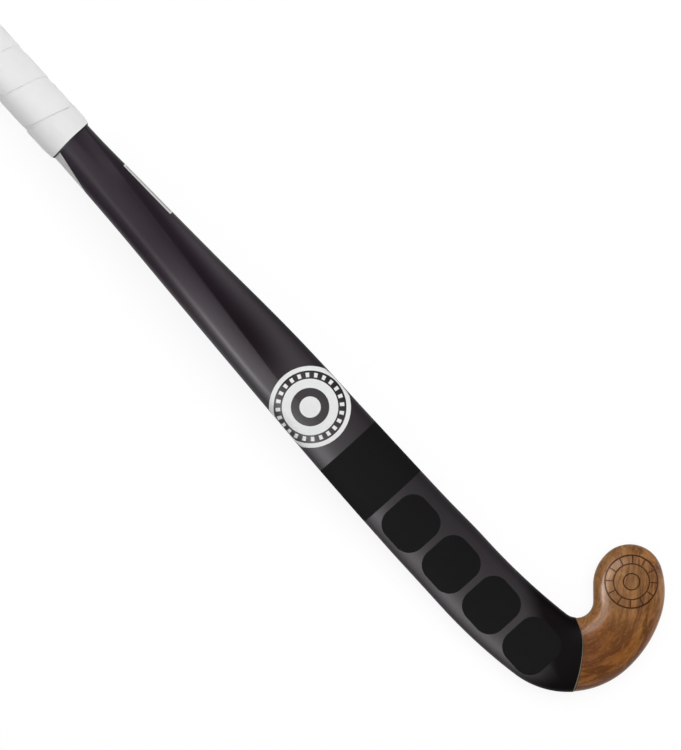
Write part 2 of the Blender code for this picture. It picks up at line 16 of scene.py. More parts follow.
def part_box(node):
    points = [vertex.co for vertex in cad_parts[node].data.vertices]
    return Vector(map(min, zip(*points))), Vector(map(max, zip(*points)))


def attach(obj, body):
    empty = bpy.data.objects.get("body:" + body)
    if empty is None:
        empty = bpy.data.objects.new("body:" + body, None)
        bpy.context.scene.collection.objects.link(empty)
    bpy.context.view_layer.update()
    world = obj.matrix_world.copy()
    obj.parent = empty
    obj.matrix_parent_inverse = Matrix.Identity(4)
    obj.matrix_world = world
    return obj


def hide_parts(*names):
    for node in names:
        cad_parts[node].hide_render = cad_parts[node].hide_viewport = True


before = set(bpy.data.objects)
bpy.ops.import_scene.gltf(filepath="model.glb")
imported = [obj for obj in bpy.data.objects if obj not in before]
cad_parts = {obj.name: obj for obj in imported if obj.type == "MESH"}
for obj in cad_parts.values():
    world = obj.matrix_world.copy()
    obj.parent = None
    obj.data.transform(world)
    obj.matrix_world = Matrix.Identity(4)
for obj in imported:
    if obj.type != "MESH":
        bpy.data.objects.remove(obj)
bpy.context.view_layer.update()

bl_info = {
    "name": "Indoor Hockey Stick",
    "version": (1, 0, 0),
    "blender": (4, 5, 0),
    "location": "View3D > Sidebar > Stick",
    "description": "Builds the surfaces and finishes of an indoor hockey stick",
    "category": "Mesh",
}

MM = 0.001

# Fits between pieces
GAP = 0.3 * MM

# Overall
LENGTH = 889 * MM
FACE_BOW = 20 * MM
BOW_START = 60 * MM
BOW_PEAK = 290 * MM

# Handle, an oval under the grip
HANDLE_WIDTH = 29.4 * MM
HANDLE_OFFSET = 0.7 * MM
HANDLE_DEPTH = 33 * MM
HANDLE_END = 487.5 * MM

# Shaft, as (station, heel side half width, toe side half width)
SHAFT_ROWS = (
    (430 * MM, 16.5 * MM, 16.2 * MM),
    (375 * MM, 18.7 * MM, 18.6 * MM),
    (300 * MM, 21.5 * MM, 22.3 * MM),
    (225 * MM, 24.0 * MM, 23.2 * MM),
    (160 * MM, 25.1 * MM, 24.0 * MM),
)
SHAFT_DEPTH = 21 * MM
FLAT_FACE_START = 200 * MM
EDGE_HEIGHT = 8 * MM
FACE_EDGE_RADIUS = 5 * MM

# Ridge and scoop along the upper back
RIDGE_TOP = 10.9 * MM
RIDGE_FOOT = -5 * MM
RIDGE_END = 290 * MM
RIDGE_EASE = 1.15
RIDGE_FALL = 0.45
SCOOP_RISE = 45 * MM
SCOOP_FADE = 330 * MM
SCOOP_END = 235 * MM
WING_SHARE = 0.42

# Hook, outer edge: flare, heel, bottom, shoulder and toe, as arcs
HEEL_HALF_WIDTH = 25.0 * MM
HEEL_FLARE_RADIUS = 351 * MM
HEEL_FLARE_TURN = math.radians(10.5)
HEEL_RADIUS = 56.1 * MM
BOTTOM_RADIUS = 77.5 * MM
BOTTOM_TURN = math.radians(30.5)
SHOULDER_RADIUS = 51.9 * MM
SHOULDER_TURN = math.radians(34.1)
TOE_RADIUS = 21.4 * MM
TOE_TURN = math.radians(113.5)
TOE_INNER_RADIUS = 27.5 * MM

# Hook, inner edge: flare, throat and the straight edge up to the toe
THROAT_HALF_WIDTH = 25.2 * MM
THROAT_FLARE_RADIUS = 428 * MM
THROAT_FLARE_START = 123 * MM
THROAT_RADIUS = 10.4 * MM
THROAT_STATION = 43.5 * MM
HEAD_DEPTH = 20.5 * MM
HEAD_BACK_POWER = 2.9
SHAFT_BACK_POWER = 2.2
HEAD_BLEND_START = 170 * MM

# Fibre sleeve
SLEEVE_WALL = 0.9 * MM
SLEEVE_LIP = 0.25 * MM
SLEEVE_TURN = math.radians(53.6)
SLEEVE_SKEW = 4.8 * MM
SLEEVE_DROP = 10.7 * MM

# Splice of the handle into the head
SPLICE_MOUTH = 425 * MM
SPLICE_TIP = 215 * MM
EAR_THICKNESS = 1.5 * MM
RUBBER_THICKNESS = 1.5 * MM

# Butt cap
CAP_THICKNESS = 5 * MM
CAP_SKIRT_LENGTH = 14 * MM
CAP_OVERHANG = 3.1 * MM
CAP_EDGE = 1.5 * MM
CAP_FLANGE_RADIUS = 0.6 * MM

# Ring moulded in the cap's end, as (outset, share of the ring's depth)
CAP_RING_ROWS = (
    (-1.5 * MM, 0.0),
    (-1.9 * MM, 0.8),
    (-2.3 * MM, 1.0),
    (-3.1 * MM, 1.0),
    (-3.5 * MM, 0.8),
    (-3.9 * MM, 0.0),
    (-9.0 * MM, 0.0),
)

# Grip
UNDERLAY_THICKNESS = 0.4 * MM
UNDERLAY_SKIVED = 0.2 * MM
UNDERLAY_SKIVE_LENGTH = 90 * MM
WRAP_WIDTH = 30 * MM
WRAP_PITCH = 26 * MM
WRAP_THICKNESS = 0.9 * MM
WRAP_EDGE_THICKNESS = 0.22 * MM
WRAP_LAP_GAP = 0.1 * MM
WRAP_SLOPE = 2 * MM
WRAP_END = 497.5 * MM
WRAP_START_ANGLE = math.radians(259)
WRAP_CLIMB = (0.5, 0.95)
TAPE_THICKNESS = 0.3 * MM
TAPE_TOP = 506.8 * MM
TAPE_TILT = 0.25
TAPE_TAPER = 8 * MM
EDGE_TAPE_WIDTH = 4 * MM
EDGE_TAPE_SHOWN = 1 * MM
EDGE_TAPE_THICKNESS = 0.35 * MM

# How the wound pieces wander, per turn of the strip or radian of the tape, and dent, per metre
STRIP_WANDER_RATE = 1.7
STRIP_DENT_RATE = 55
STRIP_DENTED_ABOVE = 0.2 * MM
TAPE_WANDER_RATE = 1.3
TAPE_DENT_RATE = 90
TAPE_DENT = 0.1 * MM
TAPE_LAP_START = math.radians(200)
TAPE_LAP_TURN = math.radians(70)
TAPE_FOOT_RISE = 0.7 * MM
TAPE_FOOT_SKEW = 0.7 * MM
TAPE_FOOT_WAVE = 0.25 * MM

# Zones of the sleeve's paint and gloss, as the middle and the softness of their edge
LOW_PAINT = (38 * MM, 15 * MM)
LOW_PAINT_SLANT = 1.8
UPPER_PAINT = (350 * MM, 60 * MM)
PAST_RIDGE = (0.2 * MM, 0.5 * MM)
# Painted shade on the facet just past the ridge, as the middle and softness of its edge
RIDGE_SHADE_SIDE = (7 * MM, 6 * MM)
CREST_SIDE = (-4 * MM, 4 * MM)
CREST_FOOT = (462 * MM, 24 * MM)
SHEEN_SIDE = (13 * MM, 10 * MM)
SHEEN_FOOT = (270 * MM, 45 * MM)
SHEEN_FULL = (400 * MM, 70 * MM)
FLANK_LEVEL = (38 * MM, 5 * MM)

# Strength of the paint's gloss in those zones
SHAFT_GLOSS = 0.26
UPPER_LOSS = 0.96
CREST_GLOSS = 0.3
FLANK_GLOSS = 0.3
SHEEN_LOW = 0.19
SHEEN_RISE = 0.92

# Soft edges of the prints
PRINT_SOFT = 0.12 * MM
BLOCK_SOFT = 0.15 * MM
TICK_SOFT = 0.04
ON_BACK = (0.5, 0.05)
# Width of the pale line at the sleeve's cut edge, partly bare fibre and partly a painted highlight
LIP_EDGE = (0.5 * MM, 0.1 * MM)

# White roundel, with the place and width of its rings, and of its ticks the count and share too
ROUNDEL_SIDE = 1.4 * MM
ROUNDEL_WRAP_LEVEL = 32.2 * MM
ROUNDEL_WRAP_SLOPE = 0.06
ROUNDEL_DISC = 0.26
ROUNDEL_RINGS = ((0.945, 0.11), (0.58, 0.22))
ROUNDEL_TICKS = (0.785, 0.11, 24, 0.42)

# Matt blocks below the roundel, the first and last of them shifted sideways
BLOCKS = 4
BLOCK_GAP = 4.6 * MM
BLOCK_SHIFTS = (-3.6 * MM, 1.0 * MM)

# Flash and trim bar on the flanks, with the bar's rims and soft edges at its side, ends and level
FLASH_FOOT = (30 * MM, 0.3 * MM)
FLASH_SIDE = 10.4 * MM
FLASH_SLANT = 0.172
FLASH_LEVEL = 25 * MM
FLASH_LEVEL_SLOPE = 0.26
BAR_STATION = 432.2 * MM
BAR_HALF_LENGTH = 21.3 * MM
BAR_SIDE = 13.6 * MM
BAR_SLANT = 0.033
BAR_LEVEL = 25.5 * MM
BAR_RIMS = (0.85 * MM, 1.0 * MM, 0.9 * MM)
BAR_SOFTS = (0.1 * MM, 0.15 * MM, 0.12 * MM)

# Rings and spokes burnt into the toe
TOE_RINGS_STATION = 40.3 * MM
TOE_RINGS_SIDE = 75.5 * MM
TOE_INNER_RINGS = (0.66, 0.3)
TOE_INNER_LINE = 0.8
TOE_SPOKES = (0.82, 0.34, 12, 0.1)

# Zones of the wood, as the middle and the softness of their edge
OUTER_SIDE = (4 * MM, 12 * MM)
RIM_SIDE = (17 * MM, 3 * MM)
TIP_RUN = (70 * MM, 22 * MM)
HONEY_SIDE = (16 * MM, 5 * MM)
HONEY_RUN = (26 * MM, 15 * MM)
# Throat side, where the wood is painted paler as a highlight
THROAT_SIDE = (13 * MM, 4 * MM)
RUDDY_PLACE = (18 * MM, 2 * MM)
RUDDY_RUN = (20 * MM, 14 * MM)
RUDDY_SIDE = (12 * MM, 9 * MM)

# Fineness of the visible surfaces
BACK_STEPS = 44
EDGE_STEPS = 7
FACE_STEPS = 5
OVAL_STEPS = 96
LOOP_POINTS = 96
TOE_STEPS = 44
LIP_STEPS = 5
HOOK_STEPS = 40
SLEEVE_END_STEPS = 14
FLANGE_STEPS = 3
CAP_EDGE_STEPS = 6
TAPE_STEPS = 16
HEAD_SPACING = 12 * MM
GRIP_SPACING = 40 * MM
SHAFT_SPACING = 5 * MM
UNDERLAY_SPACING = 15 * MM
EDGE_TAPE_SPACING = 0.5 * MM
CUT_MARGIN = 20 * MM
FULLEST_CORNER = 0.98
LONGEST_ROUNDING = 0.45

# Stage, with the lamps' places and sizes, and whether they face straight down
LAMPS = {
    "top": ((0.0, 0.75, 2.05), (2.4, 1.4), False),
    "strip": ((-0.05, -1.4, 1.35), (1.3, 0.8), False),
    "card": ((-0.05, -0.17, 0.75), (0.5, 0.78), True),
    "side": ((0.3, 1.3, 1.2), (1.0, 0.7), False),
    "low": ((0.1, -1.6, 0.3), (1.5, 0.5), False),
}
FLOOR_REACH = 60.0
FLOOR_DROP = 0.2 * MM
FLOOR_GLOW = 0.89
FLOOR_SHARE = 0.15
CAMERA_STATION = 484.0 * MM
CAMERA_SIDE = 26.5 * MM
CAMERA_LEAN = math.radians(-2)
CAMERA_ROLL = math.radians(47.85)
SENSOR_WIDTH = 36.0

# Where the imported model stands: the bottom of the hook's station 0, on the shaft's centre line
CAP_LOW, CAP_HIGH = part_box("butt_cap")
ORIGIN = Vector((CAP_LOW.x + LENGTH, (CAP_LOW.y + CAP_HIGH.y) / 2 + HANDLE_OFFSET, 0))


def shade(red, green, blue):
    """A colour as a screen shows it, 0 to 255, in the linear values of a shader."""

    def linear(level):
        level /= 255
        return level / 12.92 if level <= 0.04045 else ((level + 0.055) / 1.055) ** 2.4

    return tuple(linear(level) for level in (red, green, blue))


def length(name, description, default):
    return bpy.props.FloatProperty(
        name=name, description=description, default=default, min=0.0, precision=5, unit="LENGTH"
    )


def colour(name, description, default):
    return bpy.props.FloatVectorProperty(
        name=name, description=description, default=default, min=0.0, max=1.0, size=3, subtype="COLOR"
    )


def share_of(name, description, default):
    return bpy.props.FloatProperty(
        name=name, description=description, default=default, min=0.0, max=1.0, subtype="FACTOR"
    )


def power(name, description, default):
    return bpy.props.FloatProperty(
        name=name, description=description, default=default, min=0.0, unit="POWER"
    )


class StickSizes(bpy.types.PropertyGroup):
    """Sizes of the surface details and of the printed places."""

    strip_edge_radius: length("Strip edge", "Rounding of the grip strip's edges", 0.35 * MM)
    strip_waver: length("Strip waver", "How far the strip's edges wander from an even pitch", 0.5 * MM)
    strip_unevenness: length("Strip unevenness", "Height of the dents in the stretched strip", 0.12 * MM)
    tape_waver: length("Tape waver", "How far the edges of the finishing tape wander", 0.35 * MM)
    tape_lap: length("Tape lap", "Step where the finishing tape ends on itself", 0.15 * MM)
    cap_groove: length("Cap groove", "Depth of the ring moulded in the butt cap", 0.5 * MM)
    roundel_station: length("Roundel place", "Station of the white roundel's centre", 260.8 * MM)
    roundel_radius: length("Roundel radius", "Radius of the white roundel", 26 * MM)
    panel_top: length("Panel top", "Station where the matt panels start", 226 * MM)
    panel_foot: length("Panel foot", "Station where the first matt panel ends", 183 * MM)
    panel_length: length("Panel length", "Length of each further matt panel", 32 * MM)
    panel_half_width: length("Panel half width", "Half width of each further matt panel", 17 * MM)
    panel_corner: length("Panel corner", "Corner radius of the matt panels", 11 * MM)
    ring_radius: length("Toe ring radius", "Radius of the ring burnt into the toe", 17.3 * MM)
    ring_line: length("Toe ring line", "Width of the burnt line", 1.0 * MM)


class StickColours(bpy.types.PropertyGroup):
    """Colours of the finishes."""

    paint: colour("Paint", "Satin paint of the shaft", shade(17, 10, 16))
    paint_top: colour("Upper paint", "Satin paint next to the grip", shade(41, 33, 41))
    paint_low: colour("Lower paint", "Satin paint next to the head", shade(8, 5, 7))
    cloud: colour("Cloud", "Faint reddish cloud in the paint", shade(70, 50, 58))
    panel: colour("Panel", "Matt black of the panels", shade(21, 22, 21))
    white_print: colour("White print", "White of the roundel", shade(236, 237, 236))
    silver_print: colour("Silver print", "Silver grey of the flash and the trim bar", shade(214, 214, 212))
    trim_print: colour("Trim print", "Grey green of the trim bar's field", shade(166, 170, 162))
    # Partly a painted highlight: the pale line at the sleeve's cut edge stands for bare fibre and for the
    # glint of its glossy lip
    lip: colour("Sleeve lip", "Bare fibre at the sleeve's cut edge", shade(120, 115, 99))
    wood_light: colour("Light wood", "Honey bands of the mulberry", shade(149, 94, 42))
    wood_middle: colour("Middle wood", "Ground of the mulberry", shade(122, 71, 28))
    wood_dark: colour("Dark wood", "Late wood and flame streaks", shade(86, 46, 14))
    wood_red: colour("Red wood", "Reddish cast in the middle of the head", shade(105, 61, 41))
    # Also blended in along the throat side as a painted highlight
    wood_toe: colour("Toe wood", "Paler wood at the tip of the toe", shade(192, 144, 94))
    burn: colour("Burnt line", "Burnt rings on the toe", shade(58, 31, 14))
    grip: colour("Grip", "White of the wound strip", shade(241, 241, 241))
    grime: colour("Grime", "Faint soiling of the strip", shade(205, 203, 198))
    # Soiling and painted shade along the strip's laps
    seam: colour("Seam", "Soiling along the strip's laps", shade(196, 196, 194))
    tape: colour("Tape", "White of the finishing tape", shade(239, 239, 239))
    edge_tape: colour("Edge tape", "Black tape under the finishing tape", shade(20, 18, 22))
    cap: colour("Cap", "Moulded rubber of the butt cap", shade(32, 31, 33))
    cane: colour("Cane", "Cane of the handle's staves", shade(205, 175, 122))
    cane_band: colour("Cane band", "Darker bands in the cane", shade(176, 138, 86))
    cane_fibre: colour("Cane fibre", "Dark fibres in the cane", shade(112, 78, 44))
    rubber: colour("Rubber", "Damping strips in the handle", shade(38, 37, 36))
    foam: colour("Foam", "Thin foam under the strip", shade(92, 92, 96))
    floor: colour("Floor", "Plain pale floor", shade(246, 246, 246))


class StudioSettings(bpy.types.PropertyGroup):
    """Light and camera."""

    top_power: power("Top light", "Wide soft light over the toe edge", 28.0)
    strip_power: power("Heel side strip", "Long bright strip seen only in the gloss", 152.0)
    card_power: power("Upper card", "Card over the upper shaft, seen only in the gloss", 21.0)
    side_power: power("Toe side card", "Dim card seen only in the gloss", 7.0)
    low_power: power("Low card", "Card low beside the heel edge, seen only in the gloss", 16.0)
    sky_strength: share_of("Sky", "Even light from all round", 0.4)
    focal_length: bpy.props.FloatProperty(
        name="Focal length", description="Long lens of the camera", default=480.0, min=1.0, unit="CAMERA"
    )
    camera_height: length("Camera height", "Height of the camera over the floor", 6371.1 * MM)


def mix(a, b, share):
    return a + (b - a) * share


def clamp(share):
    return min(max(share, 0.0), 1.0)


def ease(value, start, end):
    """0 at start and 1 at end, with no kink at either."""
    share = clamp((value - start) / (end - start))
    return share * share * (3 - 2 * share)


def shares(count):
    """Even steps from 0 to 1, both included."""
    return [step / count for step in range(count + 1)]


def spread(start, end, step):
    """Evenly spaced values from start to end, both included, about step apart."""
    count = max(1, round(abs(end - start) / step))
    return [mix(start, end, share) for share in shares(count)]


def smooth_row(station, rows):
    """The values of a table of stations, joined by one smooth curve."""
    rows = sorted(rows)
    if station <= rows[0][0]:
        return rows[0][1:]
    if station >= rows[-1][0]:
        return rows[-1][1:]
    last = len(rows) - 1
    i = max(n for n in range(last) if rows[n][0] <= station)
    low, high = rows[i], rows[i + 1]
    span = high[0] - low[0]
    share = (station - low[0]) / span

    def slope(n, column):
        if n in (0, last):
            return 0.0
        before, after = rows[n - 1], rows[n + 1]
        return (after[column] - before[column]) / (after[0] - before[0])

    values = []
    for column in range(1, len(low)):
        bend_low = share * (1 - share) ** 2 * span * slope(i, column)
        bend_high = share**2 * (1 - share) * span * slope(i + 1, column)
        values.append(mix(low[column], high[column], ease(share, 0, 1)) + bend_low - bend_high)
    return values


def direction(angle):
    return Vector((math.cos(angle), math.sin(angle)))


class Arc:
    """A left-turning arc of the hook's outer edge, from a point and a heading."""

    def __init__(self, start, heading, radius, turn):
        self.radius = radius
        self.first = heading - math.pi / 2
        self.turn = turn
        self.centre = start - radius * direction(self.first)
        self.end = self.centre + radius * direction(self.first + turn)
        self.end_heading = heading + turn

    def hit(self, origin, way):
        """How far origin is from the arc along way, or None."""
        offset = origin - self.centre
        along = offset.dot(way)
        under = along * along - offset.length_squared + self.radius**2
        if under < 0:
            return None
        reach = -along + math.sqrt(under)
        point = offset + way * reach
        swept = (math.atan2(point.y, point.x) - self.first) % (2 * math.pi)
        return reach if swept <= self.turn + 1e-9 else None


def outer_arcs():
    """The hook's outer edge, with the bottom of the hook at x = 0."""
    flare_run = HEEL_FLARE_RADIUS * math.sin(HEEL_FLARE_TURN)
    heel_run = HEEL_RADIUS * (1 - math.sin(HEEL_FLARE_TURN))
    point = Vector((-flare_run - heel_run, -HEEL_HALF_WIDTH))
    heading = 0.0
    arcs = []
    for radius, turn in (
        (HEEL_FLARE_RADIUS, HEEL_FLARE_TURN),
        (HEEL_RADIUS, math.pi / 2 - HEEL_FLARE_TURN),
        (BOTTOM_RADIUS, BOTTOM_TURN),
        (SHOULDER_RADIUS, SHOULDER_TURN),
        (TOE_RADIUS, TOE_TURN),
        (TOE_INNER_RADIUS, math.pi / 2),
    ):
        arc = Arc(point, heading, radius, turn)
        arcs.append(arc)
        point, heading = arc.end, arc.end_heading
    return arcs


ARCS = outer_arcs()
FLARE_TURN = math.asin(
    (THROAT_FLARE_START - THROAT_STATION - THROAT_RADIUS) / (THROAT_FLARE_RADIUS - THROAT_RADIUS)
)
CORNER_X = -THROAT_FLARE_START + THROAT_FLARE_RADIUS * math.sin(FLARE_TURN)
CORNER_Y = THROAT_HALF_WIDTH + THROAT_FLARE_RADIUS * (1 - math.cos(FLARE_TURN))
THROAT_CENTRE = Vector((CORNER_X, CORNER_Y)) + THROAT_RADIUS * direction(FLARE_TURN + math.pi / 2)
TO_TOE = ARCS[-1].centre - THROAT_CENTRE
TOE_REACH = TOE_INNER_RADIUS + THROAT_RADIUS
TOE_HEADING = math.atan2(TO_TOE.y, TO_TOE.x) + math.asin(TOE_REACH / TO_TOE.length)
TOE_EDGE_LENGTH = math.sqrt(TO_TOE.length_squared - TOE_REACH**2)
MID_RADIUS = THROAT_RADIUS + HEEL_HALF_WIDTH
CORNER_RUN = MID_RADIUS * (TOE_HEADING - FLARE_TURN)
HEAD_RUN = CORNER_RUN + TOE_EDGE_LENGTH


def run_at(station):
    """The run of a station on the shaft."""
    return -CORNER_X - station


def inner_edge(run):
    """The inner edge's point at a run, and the heading of the edge there."""
    if run <= 0:
        x = CORNER_X + run
        past = x + THROAT_FLARE_START
        if past <= 0:
            return Vector((x, shaft_sides(-x)[1])), 0.0
        turn = math.asin(past / THROAT_FLARE_RADIUS)
        y = THROAT_HALF_WIDTH + THROAT_FLARE_RADIUS * (1 - math.cos(turn))
        return Vector((x, y)), turn
    if run <= CORNER_RUN:
        heading = FLARE_TURN + run / MID_RADIUS
        return THROAT_CENTRE + THROAT_RADIUS * direction(heading - math.pi / 2), heading
    start = THROAT_CENTRE + THROAT_RADIUS * direction(TOE_HEADING - math.pi / 2)
    return start + (run - CORNER_RUN) * direction(TOE_HEADING), TOE_HEADING


def reach_outer(origin, way):
    """How far the outer edge of the hook is from origin along way."""
    for arc in ARCS:
        reach = arc.hit(origin, way)
        if reach is not None:
            return reach
    return (-HEEL_HALF_WIDTH - origin.y) / way.y


def shaft_sides(station):
    """Heel side and toe side half widths on the handle and shaft."""
    ends = (
        (THROAT_FLARE_START, HEEL_HALF_WIDTH, THROAT_HALF_WIDTH),
        (HANDLE_END, HANDLE_WIDTH / 2 + HANDLE_OFFSET, HANDLE_WIDTH / 2 - HANDLE_OFFSET),
    )
    return smooth_row(station, SHAFT_ROWS + ends)


def face_lift(station):
    """Height of the playing side over the floor."""
    if station <= BOW_PEAK:
        return FACE_BOW * ease(station, BOW_START, BOW_PEAK)
    return mix(FACE_BOW, CAP_OVERHANG, (station - BOW_PEAK) / (LENGTH - BOW_PEAK))


def ridge_line(station):
    """Where the ridge of the back lies across the shaft."""
    share = clamp((HANDLE_END - station) / (HANDLE_END - RIDGE_END))
    return mix(RIDGE_TOP, RIDGE_FOOT, share**RIDGE_EASE)


class Station:
    """The cross-section at a run, by the place of its two edges and its heights."""

    def __init__(self, run, inset):
        inner, heading = inner_edge(run)
        way = direction(heading - math.pi / 2)
        station = -inner.x if run <= 0 else 0.0
        if run <= run_at(THROAT_FLARE_START):
            width = sum(shaft_sides(station))
        else:
            width = reach_outer(inner, way)
        on_head = ease(run, run_at(HEAD_BLEND_START), 0)
        handle = ease(station, FLAT_FACE_START, HANDLE_END)
        self.run = run
        self.half = width / 2 - inset
        self.middle = inner + way * (width / 2)
        self.way = -way
        self.inset = inset
        self.floor = face_lift(station) + inset
        self.edge = face_lift(station) + mix(EDGE_HEIGHT, HANDLE_DEPTH / 2, handle)
        depth = mix(mix(SHAFT_DEPTH, HANDLE_DEPTH, handle), HEAD_DEPTH, on_head)
        self.rise = face_lift(station) + depth - self.edge
        self.power = mix(mix(SHAFT_BACK_POWER, 2, handle), HEAD_BACK_POWER, on_head)
        self.corner = mix(FACE_EDGE_RADIUS, width / 2, handle) - inset
        scoop_start = ease(station, HANDLE_END, HANDLE_END - SCOOP_RISE)
        self.scoop = scoop_start * ease(station, SCOOP_END, SCOOP_FADE)
        across = (ridge_line(station) - self.middle.y) / (width / 2)
        self.ridge = across * ease(station, THROAT_FLARE_START, RIDGE_END)

    def share(self, v):
        """The back's height over the edge line, as a share of the rise."""
        plain = (1 - abs(v) ** self.power) ** (1 / self.power)
        if not self.scoop:
            return plain
        crest = (self.ridge - 1) / 2
        heel_run = 1 + crest
        toe_run = (self.ridge - crest) / RIDGE_FALL
        run = heel_run if v < crest else toe_run
        place = min(v, self.ridge)
        shaped = math.sqrt(max(1 - ((place - crest) / run) ** 2, 0.0))
        if v > self.ridge:
            past = (v - self.ridge) / (1 - self.ridge)
            shaped = WING_SHARE + (shaped - WING_SHARE) * (1 - past) ** 2
            shaped *= math.sqrt(1 - past**8)
        return mix(plain, shaped, self.scoop)

    def point(self, v, z):
        place = self.middle + self.way * (v * self.half)
        return Vector((place.x, place.y, z))

    def back(self, step):
        """Point number step of the back, from the heel edge to the toe edge."""
        half_steps = BACK_STEPS // 2
        if step <= half_steps:
            v = -1 + (1 + self.ridge) * (1 - math.cos(math.pi / 2 * step / half_steps))
        else:
            left = BACK_STEPS - step
            v = 1 - (1 - self.ridge) * (1 - math.cos(math.pi / 2 * left / half_steps))
        fade = math.sqrt(max(1 - v**4, 0.0))
        return v, self.edge + self.rise * self.share(v) - self.inset * fade

    def turn_of_edge(self, side, step):
        """Point number step of one rounded edge, from its widest place to the face."""
        angle = math.pi / 2 * step / EDGE_STEPS
        corner = min(self.corner / self.half, FULLEST_CORNER)
        v = 1 - corner * (1 - math.cos(angle))
        return side * v, self.edge - (self.edge - self.floor) * math.sin(angle)

    def profile(self):
        """The (v, z) pairs round the section, from its heel edge over the back."""
        back = [self.back(step) for step in range(BACK_STEPS + 1)]
        toe = [self.turn_of_edge(1, step) for step in range(1, EDGE_STEPS + 1)]
        heel = [self.turn_of_edge(-1, step) for step in range(EDGE_STEPS, 0, -1)]
        reach = toe[-1][0]
        flat = [(mix(reach, -reach, n / FACE_STEPS), self.floor) for n in range(1, FACE_STEPS)]
        return back + toe + flat + heel

    def spot(self, v, z):
        """A point of the section with its place along, across and up the grain."""
        return self.point(v, z), (self.run, v * self.half, z)


def section(run, inset=0.0):
    """One ring of spots.  Run is a number, or a function of the place v across."""
    if not callable(run):
        station = Station(run, inset)
        return [station.spot(v, z) for v, z in station.profile()]
    spots = []
    for index, (v, _) in enumerate(Station(run(0), inset).profile()):
        station = Station(run(v), inset)
        v, z = station.profile()[index]
        spots.append(station.spot(v, z))
    return spots


def sleeve_end(v):
    """Run of the sleeve's lower edge: skewed, and drawn back beside the throat."""
    middle = (SLEEVE_TURN - FLARE_TURN) * MID_RADIUS
    return middle + SLEEVE_SKEW * v - SLEEVE_DROP * max(v, 0.0) ** 4


def oval_point(station, outset, angle):
    """A point round the handle, outset from the sleeve's surface."""
    y = (HANDLE_WIDTH / 2 + outset) * math.cos(angle)
    z = face_lift(station) + HANDLE_DEPTH / 2 + (HANDLE_DEPTH / 2 + outset) * math.sin(angle)
    return Vector((-station, y - HANDLE_OFFSET, z))


def oval(station, outset):
    """A ring of spots round the handle.  Both may be functions of the angle."""
    spots = []
    for step in range(OVAL_STEPS):
        angle = 2 * math.pi * step / OVAL_STEPS
        at = station(angle) if callable(station) else station
        out = outset(angle) if callable(outset) else outset
        spots.append((oval_point(at, out, angle), (at, angle, out)))
    return spots


def new_object(name, data):
    """An object with this data, linked into the scene."""
    obj = bpy.data.objects.new(name, data)
    bpy.context.scene.collection.objects.link(obj)
    return obj


def keep_vectors(mesh, name, vectors):
    attribute = mesh.attributes.new(name, "FLOAT_VECTOR", "POINT")
    attribute.data.foreach_set("vector", [part for vector in vectors for part in vector])


def turn_outward(mesh):
    """Turns all faces of a closed mesh outward."""
    bm = bmesh.new()
    bm.from_mesh(mesh)
    bmesh.ops.recalc_face_normals(bm, faces=bm.faces)
    bm.to_mesh(mesh)
    bm.free()


class Surface:
    """Points and faces of one piece, with its places on the stick kept at the points.

    The attribute grain holds each spot's own coordinates, and place holds its
    station, its way across the shaft, and 1 on the back or 0 on the face.
    """

    def __init__(self, name):
        self.name = name
        self.points = []
        self.grain = []
        self.tops = []
        self.faces = []

    def ring(self, spots, back_points=0):
        """Adds a row of spots, the first back_points of them on the back."""
        first = len(self.points)
        for number, (point, grain) in enumerate(spots):
            self.points.append(point)
            self.grain.append(grain)
            self.tops.append(1.0 if number < back_points else 0.0)
        return list(range(first, len(self.points)))

    def bridge(self, low, high, closed=True):
        """Quads between two rows of corners."""
        for index in range(len(low) if closed else len(low) - 1):
            after = (index + 1) % len(low)
            corners = (low[index], low[after], high[after], high[index])
            self.faces.append(list(dict.fromkeys(corners)))

    def loft(self, rings, back_points=0):
        """Quads between rings of equal length.  Gives the rows of corners."""
        rows = [self.ring(spots, back_points) for spots in rings]
        for low, high in zip(rows, rows[1:]):
            self.bridge(low, high)
        return rows

    def tube(self, outer, inner, back_points=0):
        """A tube with open ends, between outer and inner rings."""
        outside, inside = self.loft(outer, back_points), self.loft(inner, back_points)
        for end in (0, -1):
            self.bridge(outside[end], inside[end])

    def piece(self, finish, slot, *nodes, crease=30):
        """The finished object, which rides on the stick and replaces CAD nodes."""
        mesh = bpy.data.meshes.new(self.name)
        mesh.from_pydata([ORIGIN + point for point in self.points], [], self.faces)
        keep_vectors(mesh, "grain", self.grain)
        places = [(-point.x, point.y, top) for point, top in zip(self.points, self.tops)]
        keep_vectors(mesh, "place", places)
        turn_outward(mesh)
        mesh.shade_smooth()
        mesh.set_sharp_from_angle(angle=math.radians(crease))
        mesh.materials.append(finish.material)
        obj = new_object(self.name, mesh)
        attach(obj, "root")
        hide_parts(*nodes)
        return obj


def rounded(corners, radius, steps):
    """A closed outline with each corner turned into a curve of steps points."""
    outline = []
    for index, corner in enumerate(corners):
        before = corners[index - 1] - corner
        after = corners[(index + 1) % len(corners)] - corner
        start = corner + before.normalized() * min(radius, before.length * LONGEST_ROUNDING)
        end = corner + after.normalized() * min(radius, after.length * LONGEST_ROUNDING)
        for share in shares(steps - 1):
            first = start.lerp(corner, share)
            outline.append(first.lerp(corner.lerp(end, share), share))
    return outline


def splice_half_width(station):
    """Half width of the handle's V at a station of the splice."""
    core = sum(shaft_sides(SPLICE_MOUTH)) / 2 - SLEEVE_WALL - GAP
    tip = RUBBER_THICKNESS / 2 + GAP
    return mix(tip, core - EAR_THICKNESS, (station - SPLICE_TIP) / (SPLICE_MOUTH - SPLICE_TIP))


